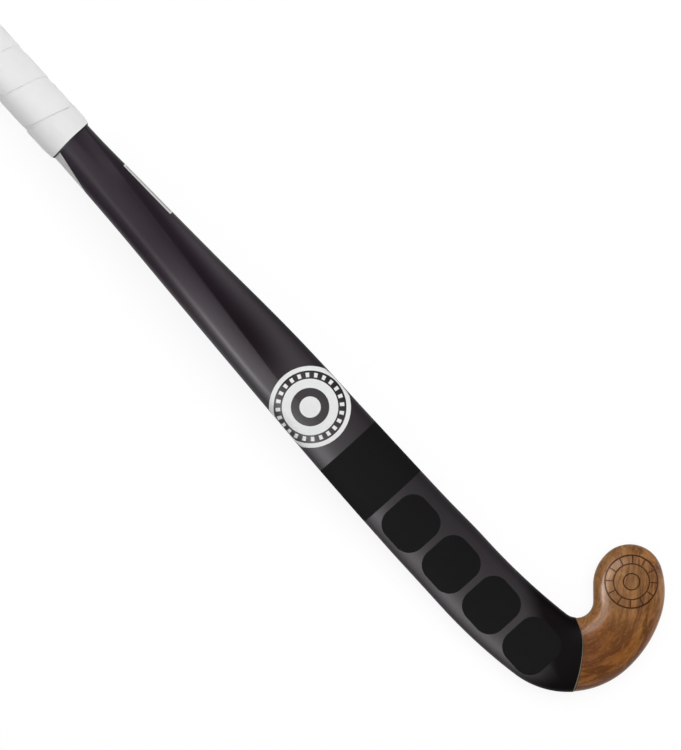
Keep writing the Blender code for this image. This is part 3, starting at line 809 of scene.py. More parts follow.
def cut_fork(head):
    """Cuts the V-shaped socket for the handle out of the top of the head."""
    past = SPLICE_MOUTH + CUT_MARGIN
    mouth, tip = splice_half_width(past) + GAP, splice_half_width(SPLICE_TIP) + GAP
    corners = ((past, -mouth), (SPLICE_TIP - GAP, -tip), (SPLICE_TIP - GAP, tip), (past, mouth))
    heights = (-CUT_MARGIN, FACE_BOW + HANDLE_DEPTH + CUT_MARGIN)
    points = [ORIGIN + Vector((-station, y, z)) for z in heights for station, y in corners]
    sides = [(n, (n + 1) % 4, (n + 1) % 4 + 4, n + 4) for n in range(4)]
    mesh = bpy.data.meshes.new("splice_socket")
    mesh.from_pydata(points, [], [(0, 1, 2, 3), (4, 5, 6, 7), *sides])
    turn_outward(mesh)
    cutter = new_object("splice_socket", mesh)
    cut = head.modifiers.new("splice", "BOOLEAN")
    cut.operation = "DIFFERENCE"
    cut.object = cutter
    evaluated = head.evaluated_get(bpy.context.evaluated_depsgraph_get())
    whole, forked = head.data, bpy.data.meshes.new_from_object(evaluated)
    head.modifiers.clear()
    head.data = forked
    bpy.data.objects.remove(cutter)
    bpy.data.meshes.remove(mesh)
    bpy.data.meshes.remove(whole)
    forked.name = head.name


class Signal:
    """A socket of a shader.  Arithmetic on it adds Math nodes."""

    def __init__(self, nodes, socket):
        self.nodes = nodes
        self.socket = socket

    def other(self, output):
        """Another output of the same node."""
        return Signal(self.nodes, find(self.socket.node.outputs, output))

    def math(self, operation, *values):
        names = ("Value", "Value_001")
        return self.nodes.add("ShaderNodeMath", {"operation": operation}, dict(zip(names, values)))

    def __add__(self, other):
        return self.math("ADD", self, other)

    def __radd__(self, other):
        return self.math("ADD", other, self)

    def __sub__(self, other):
        return self.math("SUBTRACT", self, other)

    def __rsub__(self, other):
        return self.math("SUBTRACT", other, self)

    def __mul__(self, other):
        return self.math("MULTIPLY", self, other)

    def __rmul__(self, other):
        return self.math("MULTIPLY", other, self)

    def __pow__(self, other):
        return self.math("POWER", self, other)

    def __abs__(self):
        return self.math("ABSOLUTE", self)

    def most(self, other):
        return self.math("MAXIMUM", self, other)

    def root(self):
        return self.math("SQRT", self)

    def sine(self):
        return self.math("SINE", self)

    def fraction(self):
        return self.math("FRACT", self)

    def bearing(self, along):
        """The angle at which the point (along, self) lies from the origin."""
        return self.math("ARCTAN2", self, along)

    def over(self, level, soft):
        """1 well over the level and 0 well under it, with a soft edge."""
        return self.nodes.add(
            "ShaderNodeMapRange",
            {"interpolation_type": "SMOOTHSTEP"},
            {"Value": self, "From Min": level - soft, "From Max": level + soft},
        )

    def under(self, level, soft):
        return 1 - self.over(level, soft)


def find(sockets, name):
    """The socket with this identifier, or else with this name."""
    for socket in sockets:
        if socket.identifier == name:
            return socket
    return sockets[name]


class Nodes:
    """The node tree of a finish, of the floor or of the world."""

    def __init__(self, owner):
        owner.use_nodes = True
        self.tree = owner.node_tree

    def add(self, kind, settings=None, inputs=None, output=None):
        """A node of this type, with its settings and then its inputs set or linked."""
        node = self.tree.nodes.new(kind)
        for name, value in (settings or {}).items():
            setattr(node, name, value)
        for name, value in (inputs or {}).items():
            self.feed(find(node.inputs, name), value)
        return Signal(self, find(node.outputs, output) if output else node.outputs[0])

    def feed(self, socket, value):
        if isinstance(value, Signal):
            self.tree.links.new(value.socket, socket)
        elif socket.type == "RGBA":
            socket.default_value = (*value, 1)
        else:
            socket.default_value = value

    def blend(self, share, first, second):
        """The first colour where share is 0 and the second where it is 1."""
        sockets = {"Factor_Float": share, "A_Color": first, "B_Color": second}
        return self.add("ShaderNodeMix", {"data_type": "RGBA"}, sockets, "Result_Color")

    def layers(self, ground, *layers):
        """The ground colour under layers, each a share and a colour."""
        for share, tint in layers:
            ground = self.blend(share, ground, tint)
        return ground

    def stretch(self, vector, factors):
        inputs = {"Vector": vector, "Vector_001": factors}
        return self.add("ShaderNodeVectorMath", {"operation": "MULTIPLY"}, inputs)

    def noise(self, vector, scale, detail=2.0, roughness=0.5, distortion=0.0):
        sockets = {
            "Vector": vector,
            "Scale": scale,
            "Detail": detail,
            "Roughness": roughness,
            "Distortion": distortion,
        }
        return self.add("ShaderNodeTexNoise", None, sockets)

    def streaks(self, vector, rates, *texture):
        """Noise with its own rate along each axis."""
        return self.noise(self.stretch(vector, rates), 1.0, *texture)

    def spot(self):
        return self.add("ShaderNodeTexCoord", None, None, "Object")

    def attribute(self, name):
        return self.add("ShaderNodeAttribute", {"attribute_name": name}, None, "Vector")

    def split(self, vector):
        x = self.add("ShaderNodeSeparateXYZ", None, {"Vector": vector})
        return x, x.other("Y"), x.other("Z")


class Finish(Nodes):
    """A material on one Principled shader."""

    def __init__(self, name):
        self.material = bpy.data.materials.new(name)
        super().__init__(self.material)
        self.shader = self.tree.nodes["Principled BSDF"]

    def coat(self, **values):
        """Sets or links the shader's sockets, named with _ for a space."""
        for name, value in values.items():
            words = name.replace("_", " ").title().replace("Ior", "IOR")
            self.feed(self.shader.inputs[words], value)

    def bump(self, height, distance, strength=1.0):
        inputs = {"Height": height, "Distance": distance, "Strength": strength}
        return self.add("ShaderNodeBump", None, inputs)


def ring_mask(away, radius, width):
    """1 on a line of this width round a circle, at places this far away from its centre."""
    return abs(away - radius).under(width / 2, PRINT_SOFT)


def ticks(along, across, away, radius, place, length, count, share):
    """1 on a row of ticks, their place and length as shares of the radius."""
    turn = across.bearing(along) * (count / (2 * math.pi))
    from_tick = abs(turn.fraction() - 0.5)
    return from_tick.under(share / 2, TICK_SOFT) * ring_mask(away, radius * place, radius * length)


def block_mask(along, across, half_length, half_width, corner):
    """1 inside a block with rounded corners."""
    x = (abs(along) - (half_length - corner)).most(0.0)
    y = (abs(across) - (half_width - corner)).most(0.0)
    return (x**2 + y**2).root().under(corner, BLOCK_SOFT)


def roundel_masks(sizes, station, across, height):
    """The roundel's disc, and its white rings and ticks, which close on the flanks."""
    radius = sizes.roundel_radius
    along = station - sizes.roundel_station
    fall = (along * ROUNDEL_WRAP_SLOPE + ROUNDEL_WRAP_LEVEL - height).most(0.0)
    aside = abs(across + ROUNDEL_SIDE) + fall
    away = (along**2 + aside**2).root()
    white = away.under(radius * ROUNDEL_DISC, PRINT_SOFT)
    for place, width in ROUNDEL_RINGS:
        white = white.most(ring_mask(away, radius * place, radius * width))
    white = white.most(ticks(along, aside, away, radius, *ROUNDEL_TICKS))
    return away.under(radius, PRINT_SOFT), white


def panel_mask(sizes, station, across):
    """1 on the matt panel across the shaft and on the blocks below it."""
    middle = (sizes.panel_top + sizes.panel_foot) / 2
    panels = abs(station - middle).under(sizes.panel_top - middle, PRINT_SOFT)
    half_length = sizes.panel_length / 2
    first = sizes.panel_foot - BLOCK_GAP - half_length
    for number in range(BLOCKS):
        along = station - (first - number * (sizes.panel_length + BLOCK_GAP))
        aside = across - mix(*BLOCK_SHIFTS, number / (BLOCKS - 1))
        block = block_mask(along, aside, half_length, sizes.panel_half_width, sizes.panel_corner)
        panels = panels.most(block)
    return panels


def flank_masks(station, across, height):
    """The flash beside the grip, the trim bar on the other flank, and the bar's field."""
    down = HANDLE_END - station
    flash = (across + FLASH_SIDE + down * FLASH_SLANT).under(0, PRINT_SOFT)
    flash = flash * (height - down * FLASH_LEVEL_SLOPE).over(FLASH_LEVEL, PRINT_SOFT)
    flash = flash * down.under(*FLASH_FOOT)

    bar_top = BAR_STATION + BAR_HALF_LENGTH
    inside = (
        across - BAR_SIDE - (bar_top - station) * BAR_SLANT,
        BAR_HALF_LENGTH - abs(station - BAR_STATION),
        height - BAR_LEVEL,
    )
    bar = math.prod(way.over(0, soft) for way, soft in zip(inside, BAR_SOFTS))
    field = math.prod(way.over(rim, soft) for way, rim, soft in zip(inside, BAR_RIMS, BAR_SOFTS))
    return flash, bar, field


def painted_fibre(sizes, colours):
    """Satin purple-black paint with its prints, black next to the head."""
    finish = Finish("painted_fibre")
    place = finish.attribute("place")
    station, across, top = finish.split(place)
    to_edge, past_ridge, scoop = finish.split(finish.attribute("marks"))
    _, _, height = finish.split(finish.attribute("grain"))
    back = top.over(*ON_BACK)
    spot = finish.spot()

    low = (station - across.most(0) * LOW_PAINT_SLANT).under(*LOW_PAINT)
    high = station.over(*UPPER_PAINT)
    past = past_ridge.over(*PAST_RIDGE) * back
    # Painted shade: just past the ridge less upper paint is blended in, so the facet there is darker
    ridge_painted_shade = past * past_ridge.under(*RIDGE_SHADE_SIDE)
    cloud = finish.noise(spot, 9.0, 3.0)
    disc, white = roundel_masks(sizes, station, across, height)
    disc, white = disc * back, white * back
    panels = panel_mask(sizes, station, across) * back * (1 - disc)
    flash, bar, field = flank_masks(station, across, height)
    tint = finish.layers(
        colours.paint,
        (low, colours.paint_low),
        # upper paint, held back in the painted shade past the ridge
        (high * (1 - ridge_painted_shade * 0.3), colours.paint_top),
        (cloud.over(0.6, 0.25) * 0.06, colours.cloud),
        (panels, colours.panel),
        (white, colours.white_print),
        (flash.most(bar), colours.silver_print),
        (field, colours.trim_print),
        # pale line at the cut edge: bare fibre, and a painted highlight of the glossy lip
        (to_edge.under(*LIP_EDGE), colours.lip),
    )

    fine = finish.noise(spot, 900.0, 2.0)
    broad = finish.noise(spot, 60.0, 2.0)
    rub = finish.streaks(place, (30.0, 260.0, 1.0), 4.0)
    rough = 0.4 + (broad - 0.5) * 0.06 + panels * 0.35 + rub.over(0.62, 0.1) * 0.03
    print_edge = panels.most(white) * 0.25
    crest = past_ridge.over(*CREST_SIDE) * (1 - past) * back * station.over(*CREST_FOOT)
    sheen = past * past_ridge.over(*SHEEN_SIDE) * station.over(*SHEEN_FOOT)
    gloss = SHAFT_GLOSS * (1 - high * UPPER_LOSS) * (1 - past * scoop) + crest * CREST_GLOSS
    gloss = gloss + high * height.under(*FLANK_LEVEL) * FLANK_GLOSS
    gloss = gloss + sheen * (SHEEN_LOW + SHEEN_RISE * station.over(*SHEEN_FULL))
    finish.coat(
        base_color=tint,
        roughness=rough,
        specular_ior_level=0.015,
        coat_weight=gloss * (1 - low * 0.97) * (1 - panels),
        coat_roughness=0.5,
        normal=finish.bump(fine * 0.05 + broad * 0.4 + print_edge, 0.06 * MM, 0.6),
    )
    return finish


def burnt_rings(sizes, finish, station, across, grain):
    """1 on the rings and spokes burnt into the back of the toe, a little ragged."""
    radius, line = sizes.ring_radius, sizes.ring_line
    along, aside = station - TOE_RINGS_STATION, across - TOE_RINGS_SIDE
    away = (along**2 + aside**2).root()
    burnt = ring_mask(away, radius - line / 2, line)
    for place in TOE_INNER_RINGS:
        burnt = burnt.most(ring_mask(away, radius * place, line * TOE_INNER_LINE))
    burnt = burnt.most(ticks(along, aside, away, radius, *TOE_SPOKES))
    return burnt * (0.75 + 0.35 * finish.streaks(grain, (900.0, 900.0, 900.0)))


def mulberry(sizes, colours):
    """Varnished mulberry whose grain follows the bend, with the burnt rings of the toe."""
    finish = Finish("varnished_mulberry")
    grain = finish.attribute("grain")
    station, across, top = finish.split(finish.attribute("place"))
    run, sideways, depth = finish.split(grain)

    bend = finish.streaks(grain, (17.0, 34.0, 34.0))
    curl = finish.streaks(grain, (60.0, 120.0, 120.0))
    wavering = sideways + (bend - 0.5) * (13 * MM) + (curl - 0.5) * (3 * MM)
    lines = finish.add("ShaderNodeCombineXYZ", None, {"X": run, "Y": wavering, "Z": depth})
    long = finish.streaks(lines, (11.0, 210.0, 110.0), 5.0, 0.64, 0.3)
    flames = finish.streaks(lines, (27.0, 150.0, 80.0), 4.0, 0.6, 0.9)
    pores = finish.streaks(lines, (90.0, 1300.0, 900.0), 3.0, 0.6).under(0.37, 0.06)
    mottle = finish.streaks(grain, (45.0, 70.0, 70.0), 3.0, 0.62, 0.6)
    specks = finish.streaks(grain, (300.0, 560.0, 500.0), 2.0, 0.6)
    ripple = finish.streaks(grain, (190.0, 45.0, 60.0))

    heelwards = 0.0 - sideways
    outer = heelwards.over(*OUTER_SIDE)
    rim = heelwards.over(*RIM_SIDE)
    tip = run.over(*TIP_RUN) * (1 - outer * 0.45)
    honey = sideways.over(*HONEY_SIDE) * run.over(*HONEY_RUN)
    # Throat side of the hook: glossier, and painted paler as a highlight
    throat = sideways.over(*THROAT_SIDE)
    ruddy = abs(run - RUDDY_PLACE[0]).under(*RUDDY_RUN)
    ruddy = ruddy * abs(sideways - RUDDY_PLACE[1]).under(*RUDDY_SIDE)
    ruddy = ruddy * (0.25 + mottle.over(0.48, 0.12) * 0.75)
    ruddy = ruddy.most(tip * mottle.over(0.56, 0.08) * 0.45)
    burnt = burnt_rings(sizes, finish, station, across, grain) * top.over(*ON_BACK)
    tint = finish.layers(
        colours.wood_middle,
        (long.over(0.51, 0.14), colours.wood_light),
        # paler wood at the tip, and along the throat a painted highlight
        ((tip * 0.72).most(throat * 0.5), colours.wood_toe),
        (honey * 0.3, colours.wood_light),
        (long.under(0.43, 0.07) * 0.5, colours.wood_dark),
        (flames.under(0.46, 0.06) * (0.32 + 0.4 * outer), colours.wood_dark),
        (ruddy * 0.8, colours.wood_red),
        (mottle.under(0.42, 0.08) * 0.34, colours.wood_dark),
        (pores * 0.5, colours.wood_dark),
        (specks.under(0.4, 0.05) * 0.28, colours.wood_dark),
        (specks.over(0.6, 0.05) * 0.14, colours.wood_toe),
        (burnt, colours.burn),
    )

    height = ripple * 0.3 + specks * 1.6 - pores * 0.5 - burnt * 2.0
    finish.coat(
        base_color=tint,
        roughness=0.45 + (long - 0.5) * 0.12 + burnt * 0.3,
        specular_ior_level=0.015,
        coat_weight=0.12 + rim * 0.47 + throat * 0.05 - burnt * 0.1,
        coat_roughness=0.2,
        normal=finish.bump(height, 0.06 * MM, 0.9),
    )
    return finish


def stretched_strip(colours):
    """White cushioned strip with fine pores and creases, its laps darkened by soiling and by painted
    shade.
    """
    finish = Finish("grip_strip")
    turn, over, _ = finish.split(finish.attribute("grain"))
    spot = finish.spot()
    pores = finish.add(
        "ShaderNodeTexVoronoi", {"feature": "F1"}, {"Vector": spot, "Scale": 1100.0}, "Distance"
    )
    along = finish.add("ShaderNodeCombineXYZ", None, {"X": turn * 5.0, "Y": over * 260.0})
    creases = finish.noise(along, 1.0, 4.0, 0.62, 0.8)
    soft = finish.noise(spot, 120.0, 3.0)
    grime = finish.noise(spot, 30.0, 4.0, 0.6)
    # Laps darkened, partly soiling and partly painted shade where the laps step
    seam = over.under(0.9 * MM, 0.8 * MM)
    soiled = grime.over(0.6, 0.12) * 0.1
    height = pores.over(0.35, 0.2) * 0.25 + creases * 0.5 + soft * 0.6
    finish.coat(
        base_color=finish.layers(colours.grip, (soiled, colours.grime), (seam * 0.04, colours.seam)),
        roughness=0.6 + (soft - 0.5) * 0.15,
        normal=finish.bump(height, 0.12 * MM, 0.5),
        specular_ior_level=0.1,
    )
    return finish


def woven_tape(name, ground, threads=2600.0):
    """Cloth tape with a fine plain weave."""
    finish = Finish(name)
    at, angle, _ = finish.split(finish.attribute("grain"))
    warp = (at * threads * math.pi).sine()
    weft = (angle * (threads * HANDLE_WIDTH / 2 * math.pi)).sine()
    weave = warp * weft
    spot = finish.spot()
    soft = finish.noise(spot, 160.0, 3.0)
    darker = tuple(part * 0.85 for part in ground)
    tint = finish.blend(soft.over(0.58, 0.1) * 0.12 + weave.under(-0.4, 0.3) * 0.1, ground, darker)
    finish.coat(
        base_color=tint,
        roughness=0.62 + (soft - 0.5) * 0.2,
        normal=finish.bump(weave * 0.25 + soft * 0.8, 0.1 * MM, 0.4),
        specular_ior_level=0.1,
    )
    return finish


def speckled(name, ground, scale, strength, roughness):
    """An even moulded or foamed finish with a fine texture."""
    finish = Finish(name)
    spot = finish.spot()
    fine = finish.noise(spot, scale, 3.0)
    broad = finish.noise(spot, scale / 25, 2.0)
    paler = tuple(min(part * 1.5 + 0.01, 1.0) for part in ground)
    finish.coat(
        base_color=finish.blend(broad.over(0.55, 0.2) * 0.35, ground, paler),
        roughness=roughness + (fine - 0.5) * 0.15,
        normal=finish.bump(fine, 0.1 * MM, strength),
    )
    return finish


def cane(colours):
    """Cane whose fibres run along the handle, with dark dots in its cut ends."""
    finish = Finish("cane")
    spot = finish.spot()
    fibres = finish.streaks(spot, (12.0, 900.0, 900.0), 4.0, 0.6)
    bands = finish.streaks(spot, (6.0, 90.0, 90.0), 3.0)
    tint = finish.layers(
        colours.cane,
        (bands.over(0.5, 0.2) * 0.5, colours.cane_band),
        (fibres.under(0.4, 0.06) * 0.6, colours.cane_fibre),
    )
    finish.coat(
        base_color=tint,
        roughness=0.58 + (fibres - 0.5) * 0.2,
        normal=finish.bump(fibres, 0.08 * MM, 0.5),
    )
    return finish


class StickOperator:
    """What all operators of the stick share."""

    bl_options = {"REGISTER", "UNDO"}

    def execute(self, context):
        self.build(context.scene.stick_sizes, context.scene.stick_colours)
        return {"FINISHED"}


class STICK_OT_head(StickOperator, bpy.types.Operator):
    """Shape the mulberry hook with its forked top"""

    bl_idname = "stick.head"
    bl_label = "Head"

    def build(self, sizes, colours):
        under = SLEEVE_WALL + GAP
        rings = [section(run, under) for run in spread(run_at(SPLICE_MOUTH), 0.0, HEAD_SPACING)]
        for share in shares(LIP_STEPS)[1:]:
            rings.append(section(lambda v: mix(0.0, sleeve_end(v) + GAP, share), under))
        for share in shares(HOOK_STEPS):
            rings.append(section(lambda v: mix(sleeve_end(v) + GAP, HEAD_RUN, share), SLEEVE_LIP))
        surface = Surface("mulberry_hook")
        rows = surface.loft(rings, BACK_STEPS + 1)
        surface.faces.append(rows[0])
        self.close_toe(surface, rows[-1])
        hook = surface.piece(mulberry(sizes, colours), "varnished_mulberry", "mulberry_head")
        cut_fork(hook)

    def close_toe(self, surface, last_row):
        """Closes the hook round its toe, by turning half of the last section."""
        station = Station(HEAD_RUN, SLEEVE_LIP)
        pairs = station.profile()
        half = BACK_STEPS // 2
        below = BACK_STEPS + EDGE_STEPS + FACE_STEPS // 2
        middle_v = (pairs[below][0] + pairs[below + 1][0]) / 2
        toe_side = list(range(half, below + 1))
        heel_side = [half - n for n in range(half + 1)]
        heel_side += [len(pairs) - n for n in range(1, len(toe_side) - half)]
        assert abs(middle_v) < 1e-6
        first = math.atan2(-station.way.y, -station.way.x)
        rows = [[last_row[index] for index in heel_side]]
        for step in range(1, TOE_STEPS):
            way = direction(first + math.pi * step / TOE_STEPS)
            reach = reach_outer(station.middle, way) - SLEEVE_LIP
            ahead = way.dot(station.way.orthogonal().normalized())
            aside = way.dot(station.way)
            spots = []
            for index in toe_side[1:]:
                v, z = pairs[index]
                place = station.middle + way * (v * reach)
                grain = (HEAD_RUN + abs(ahead) * v * reach, aside * v * reach, z)
                spots.append((Vector((place.x, place.y, z)), grain))
            row = surface.ring(spots, BACK_STEPS - half)
            rows.append([last_row[toe_side[0]]] + row)
        rows.append([last_row[index] for index in toe_side])
        for low, high in zip(rows, rows[1:]):
            surface.bridge(low, high, closed=False)
        surface.faces.append([row[-1] for row in rows])


class STICK_OT_sleeve(StickOperator, bpy.types.Operator):
    """Shape the painted fibre sleeve from the butt cap to the hook"""

    bl_idname = "stick.sleeve"
    bl_label = "Fibre sleeve"

    def build(self, sizes, colours):
        top = LENGTH - CAP_THICKNESS - GAP
        under_grip = HANDLE_END + 2 * SHAFT_SPACING
        runs = spread(run_at(top), run_at(under_grip + 2 * MM), GRIP_SPACING)
        runs += spread(run_at(under_grip), 0.0, SHAFT_SPACING)
        for share in shares(SLEEVE_END_STEPS)[1:]:
            runs.append(lambda v, share=share: mix(0.0, sleeve_end(v), share))
        surface = Surface("painted_sleeve")
        outer = [section(run) for run in runs]
        inner = [section(run, SLEEVE_WALL) for run in runs]
        surface.tube(outer, inner, BACK_STEPS + 1)
        sleeve = surface.piece(painted_fibre(sizes, colours), "painted_fibre", "fibre_sleeve")
        self.keep_marks(sleeve.data, surface)

    def keep_marks(self, mesh, surface):
        """Stores how far each point is up the edge and past the ridge, and the scoop there."""
        vectors = []
        for run, across, _ in surface.grain:
            station = Station(run, 0.0)
            v = max(-1.0, min(1.0, across / station.half))
            past_ridge = across - station.ridge * station.half
            vectors.append((max(sleeve_end(v) - run, 0.0), past_ridge, station.scoop))
        keep_vectors(mesh, "marks", vectors)


class STICK_OT_handle(StickOperator, bpy.types.Operator):
    """Finish the cane staves and the damping strips"""

    bl_idname = "stick.handle"
    bl_label = "Handle core"

    def build(self, sizes, colours):
        finishes = {
            "cane_stave": cane(colours),
            "rubber_strip": speckled("damping_rubber", colours.rubber, 1600.0, 0.3, 0.8),
        }
        for name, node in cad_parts.items():
            for start, finish in finishes.items():
                if name.startswith(start):
                    for slot in node.material_slots:
                        slot.material = finish.material


class STICK_OT_cap(StickOperator, bpy.types.Operator):
    """Mould the butt cap with its rounded flange and ring"""

    bl_idname = "stick.cap"
    bl_label = "Butt cap"

    def build(self, sizes, colours):
        inside = LENGTH - CAP_THICKNESS
        skirt_end = inside - CAP_SKIRT_LENGTH
        skirt = GAP + UNDERLAY_THICKNESS
        rings = [oval(inside, GAP), oval(skirt_end, GAP), oval(skirt_end, skirt), oval(inside, skirt)]
        for share in shares(FLANGE_STEPS):
            angle = math.pi / 2 * share
            out = CAP_OVERHANG - CAP_FLANGE_RADIUS * (1 - math.sin(angle))
            rings.append(oval(inside + CAP_FLANGE_RADIUS * (1 - math.cos(angle)), out))
        for share in shares(CAP_EDGE_STEPS):
            angle = math.pi / 2 * share
            out = CAP_OVERHANG - CAP_EDGE * (1 - math.cos(angle))
            rings.append(oval(LENGTH - CAP_EDGE * (1 - math.sin(angle)), out))
        for out, depth in CAP_RING_ROWS:
            rings.append(oval(LENGTH - depth * sizes.cap_groove, out))
        surface = Surface("moulded_butt_cap")
        rows = surface.loft(rings)
        surface.faces += [rows[0], rows[-1]]
        finish = speckled("cap_rubber", colours.cap, 1900.0, 0.35, 0.62)
        surface.piece(finish, "cap_rubber", "butt_cap")


def tape_end(angle):
    """Station of the finishing tape's lower edge, which sits a little askew."""
    skew = TAPE_FOOT_SKEW * math.cos(angle) - TAPE_FOOT_WAVE * math.sin(3 * angle)
    return HANDLE_END + TAPE_FOOT_RISE + skew


def underlay_thickness(station):
    """Full on the handle, and skived thin towards the strip's lower end."""
    share = clamp((station - WRAP_END) / UNDERLAY_SKIVE_LENGTH)
    return mix(UNDERLAY_SKIVED, UNDERLAY_THICKNESS, share)


class STICK_OT_underlay(StickOperator, bpy.types.Operator):
    """Lay the thin foam under the grip strip"""

    bl_idname = "stick.underlay"
    bl_label = "Grip underlay"

    def build(self, sizes, colours):
        ends = spread(LENGTH - CAP_THICKNESS - CAP_SKIRT_LENGTH - GAP, WRAP_END + GAP, UNDERLAY_SPACING)
        surface = Surface("foam_underlay")
        outer = [oval(at, GAP + underlay_thickness(at)) for at in ends]
        inner = [oval(at, GAP) for at in ends]
        surface.tube(outer, inner)
        finish = speckled("underlay_foam", colours.foam, 1500.0, 0.6, 0.9)
        surface.piece(finish, "underlay_foam", "grip_underlay")


class STICK_OT_grip(StickOperator, bpy.types.Operator):
    """Wind the grip strip round the handle"""

    bl_idname = "stick.grip"
    bl_label = "Grip strip"

    def build(self, sizes, colours):
        start = LENGTH - CAP_THICKNESS - GAP
        lap = WRAP_WIDTH - WRAP_PITCH
        first = (2 * WRAP_SLOPE) / WRAP_PITCH
        last = (start - WRAP_END - lap - 2 * WRAP_SLOPE) / WRAP_PITCH + 1
        count = round((last - first) * LOOP_POINTS)
        rings = []
        for step in range(count + 1):
            turn = first + step / LOOP_POINTS
            waver = sizes.strip_waver * noise.noise(Vector((turn * STRIP_WANDER_RATE, 0, 0)))
            near = start - WRAP_PITCH * (turn - 1) + waver
            far = max(near - WRAP_WIDTH, WRAP_END)
            near = min(near, start)
            angle = WRAP_START_ANGLE - 2 * math.pi * turn
            lift = ease(turn - first, *WRAP_CLIMB)
            spots = []
            for corner in rounded(self.profile(near - far, lift, turn < 1), sizes.strip_edge_radius, 3):
                station = near - corner.x
                outset = 2 * GAP + underlay_thickness(station) + corner.y
                if corner.y > STRIP_DENTED_ABOVE:
                    dent = noise.noise(oval_point(station, outset, angle) * STRIP_DENT_RATE)
                    outset += sizes.strip_unevenness * dent
                spots.append((oval_point(station, outset, angle), (turn, corner.x, corner.y)))
            rings.append(spots)
        surface = Surface("wound_strip")
        rows = surface.loft(rings)
        surface.faces += [rows[0], rows[-1]]
        surface.piece(stretched_strip(colours), "grip_strip", "grip_wrap", crease=50)

    def profile(self, width, lift, cut_at_cap):
        """Corners of the strip across its width, as (along the handle, outwards)."""

        def squeeze(kept):
            return min(1.0, (width - kept) / (WRAP_WIDTH - kept))

        lap = WRAP_WIDTH - WRAP_PITCH
        edge = WRAP_EDGE_THICKNESS
        raised = lift * (edge + WRAP_LAP_GAP)
        under = WRAP_SLOPE / 8
        near = squeeze(lap + WRAP_SLOPE) if cut_at_cap else 1.0
        far = 1.0 if cut_at_cap else squeeze(lap + 1.5 * WRAP_SLOPE)
        foot = (lap + WRAP_SLOPE) * near
        corners = (
            (0.0, raised),
            (lap * near, raised),
            (foot, 0.0),
            (width, 0.0),
            (width, edge),
            (width - (lap + under) * far, edge),
            (width - (lap + 2 * under) * far, WRAP_THICKNESS),
            (foot, WRAP_THICKNESS),
            (lap * near, raised + mix(WRAP_THICKNESS, edge, lift)),
            (0.0, raised + edge),
        )
        return [Vector(corner) for corner in corners]


class STICK_OT_tapes(StickOperator, bpy.types.Operator):
    """Wrap the finishing tape and the black edge tape"""

    bl_idname = "stick.tapes"
    bl_label = "Finishing tapes"

    def build(self, sizes, colours):
        self.finishing_tape(sizes, colours.tape)
        self.edge_tape(colours.edge_tape)

    def finishing_tape(self, sizes, ground):
        highest = TAPE_TOP + TAPE_TILT * HANDLE_WIDTH
        edge = WRAP_EDGE_THICKNESS
        cover = 2 * GAP + underlay_thickness(highest) + 2 * edge + WRAP_LAP_GAP + GAP
        foot = 2 * GAP + EDGE_TAPE_THICKNESS

        def ring(share, thickness):
            def station(angle):
                y = HANDLE_WIDTH / 2 * math.cos(angle)
                waver = sizes.tape_waver * noise.noise(Vector((angle * TAPE_WANDER_RATE, share * 2, 0)))
                high = TAPE_TOP - TAPE_TILT * y
                return mix(high + waver, tape_end(angle), share)

            def outset(angle):
                at = station(angle)
                draw = ease(at, HANDLE_END + TAPE_TAPER, HANDLE_END)
                dent = noise.noise(oval_point(at, cover, angle) * TAPE_DENT_RATE)
                lapped = (angle - TAPE_LAP_START) % (2 * math.pi) < TAPE_LAP_TURN
                lap = sizes.tape_lap if lapped else 0
                lift = thickness + lap + TAPE_DENT * dent if thickness else 0
                return mix(cover, foot, draw) + lift

            return oval(station, outset)

        surface = Surface("white_finishing_tape")
        outer = [ring(share, TAPE_THICKNESS) for share in shares(TAPE_STEPS)]
        inner = [ring(share, 0.0) for share in shares(TAPE_STEPS)]
        surface.tube(outer, inner)
        surface.piece(woven_tape("white_tape", ground), "white_tape", "grip_finishing_tape")

    def edge_tape(self, ground):
        ends = spread(EDGE_TAPE_WIDTH - EDGE_TAPE_SHOWN, -EDGE_TAPE_SHOWN, EDGE_TAPE_SPACING)
        surface = Surface("black_edge_tape")

        def ring(up, outset):
            return oval(lambda angle: tape_end(angle) + up, outset)

        outer = [ring(up, GAP + EDGE_TAPE_THICKNESS) for up in ends]
        inner = [ring(up, GAP) for up in ends]
        surface.tube(outer, inner)
        surface.piece(woven_tape("black_tape", ground), "black_tape", "grip_edge_tape")


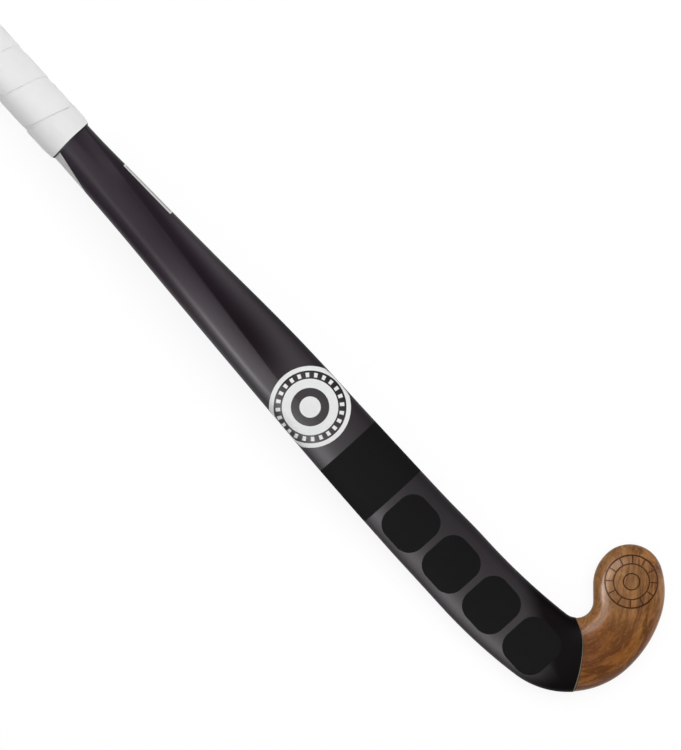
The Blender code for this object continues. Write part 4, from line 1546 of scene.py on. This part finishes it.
class STICK_OT_stage(StickOperator, bpy.types.Operator):
    """Set up the floor, the lights and the camera"""

    bl_idname = "stick.stage"
    bl_label = "Stage"

    def build(self, sizes, colours):
        scene = bpy.context.scene
        studio = scene.stick_studio
        scene.view_settings.view_transform = "Standard"
        self.floor(colours.floor)
        self.sky(scene, studio.sky_strength)
        for name, (place, size, downward) in LAMPS.items():
            lamp = self.lamp(name, place, size, downward)
            lamp.data.energy = getattr(studio, f"{name}_power")
            lamp.visible_diffuse = name == "top"
            lamp.visible_glossy = name != "top"
        self.camera(scene, studio)

    def seen(self, nodes):
        """1 for the rays that show a background: seen, mirrored or through glass."""
        path = nodes.add("ShaderNodeLightPath", None, None, "Is Camera Ray")
        return path.most(path.other("Is Glossy Ray")).most(path.other("Is Transmission Ray"))

    def floor(self, tint):
        reach = FLOOR_REACH
        corners = [(-reach, -reach), (reach, -reach), (reach, reach), (-reach, reach)]
        mesh = bpy.data.meshes.new("floor")
        mesh.from_pydata([(x, y, -FLOOR_DROP) for x, y in corners], [], [(0, 1, 2, 3)])
        floor = new_object("floor", mesh)
        finish = Finish("floor")
        mesh.materials.append(finish.material)
        finish.coat(base_color=tint, roughness=0.9, specular_ior_level=0.0)
        dim = tuple(part * FLOOR_SHARE for part in tint)
        plain = finish.add("ShaderNodeBsdfDiffuse", None, {"Color": dim})
        glow = finish.add("ShaderNodeEmission", None, {"Color": (1.0, 1.0, 1.0), "Strength": FLOOR_GLOW})
        shown = finish.add("ShaderNodeAddShader", None, {"Shader": plain, "Shader_001": glow})
        surface = Signal(finish, finish.shader.outputs[0])
        mixed = finish.add(
            "ShaderNodeMixShader", None, {"Fac": self.seen(finish), "Shader": surface, "Shader_001": shown}
        )
        finish.feed(finish.tree.nodes["Material Output"].inputs["Surface"], mixed)

    def sky(self, scene, strength):
        world = bpy.data.worlds.new("studio")
        scene.world = world
        nodes = Nodes(world)
        level = strength + (1 - strength) * self.seen(nodes)
        nodes.feed(nodes.tree.nodes["Background"].inputs["Color"], (1.0, 1.0, 1.0))
        nodes.feed(nodes.tree.nodes["Background"].inputs["Strength"], level)

    def lamp(self, name, place, size, downward):
        """A soft lamp that faces the middle of the stick, or straight down."""
        data = bpy.data.lights.new(name, "AREA")
        data.shape = "RECTANGLE"
        data.size, data.size_y = size
        lamp = new_object(name, data)
        lamp.location = place
        aim = Vector((0, 0, -1)) if downward else -Vector(place)
        lamp.rotation_euler = aim.to_track_quat("-Z", "Y").to_euler()
        return lamp

    def camera(self, scene, studio):
        data = bpy.data.cameras.new("camera")
        data.sensor_width = SENSOR_WIDTH
        data.lens = studio.focal_length
        camera = new_object("camera", data)
        turned = Matrix.Rotation(CAMERA_LEAN, 4, "Y") @ Matrix.Rotation(CAMERA_ROLL, 4, "Z")
        place = ORIGIN + Vector((-CAMERA_STATION, CAMERA_SIDE, studio.camera_height))
        camera.matrix_world = Matrix.Translation(place) @ turned
        scene.camera = camera


class STICK_PT_panel(bpy.types.Panel):
    """Lists the operators of the stick, with its sizes and colours"""

    bl_label = "Indoor hockey stick"
    bl_idname = "STICK_PT_panel"
    bl_space_type = "VIEW_3D"
    bl_region_type = "UI"
    bl_category = "Stick"

    def draw(self, context):
        for operator in OPERATORS:
            self.layout.operator(operator.bl_idname)
        for group in ("stick_sizes", "stick_colours", "stick_studio"):
            settings = getattr(context.scene, group)
            for name in settings.__annotations__:
                self.layout.prop(settings, name)


OPERATORS = (
    STICK_OT_head,
    STICK_OT_sleeve,
    STICK_OT_handle,
    STICK_OT_cap,
    STICK_OT_underlay,
    STICK_OT_grip,
    STICK_OT_tapes,
    STICK_OT_stage,
)
CLASSES = (StickSizes, StickColours, StudioSettings, *OPERATORS, STICK_PT_panel)


def register():
    for item in CLASSES:
        bpy.utils.register_class(item)
    bpy.types.Scene.stick_sizes = bpy.props.PointerProperty(type=StickSizes)
    bpy.types.Scene.stick_colours = bpy.props.PointerProperty(type=StickColours)
    bpy.types.Scene.stick_studio = bpy.props.PointerProperty(type=StudioSettings)


def unregister():
    del bpy.types.Scene.stick_sizes
    del bpy.types.Scene.stick_colours
    del bpy.types.Scene.stick_studio
    for item in reversed(CLASSES):
        bpy.utils.unregister_class(item)


def main():
    register()
    bpy.ops.stick.head()
    bpy.ops.stick.sleeve()
    bpy.ops.stick.handle()
    bpy.ops.stick.cap()
    bpy.ops.stick.underlay()
    bpy.ops.stick.grip()
    bpy.ops.stick.tapes()
    bpy.ops.stick.stage()


if __name__ == "__main__":
    main()
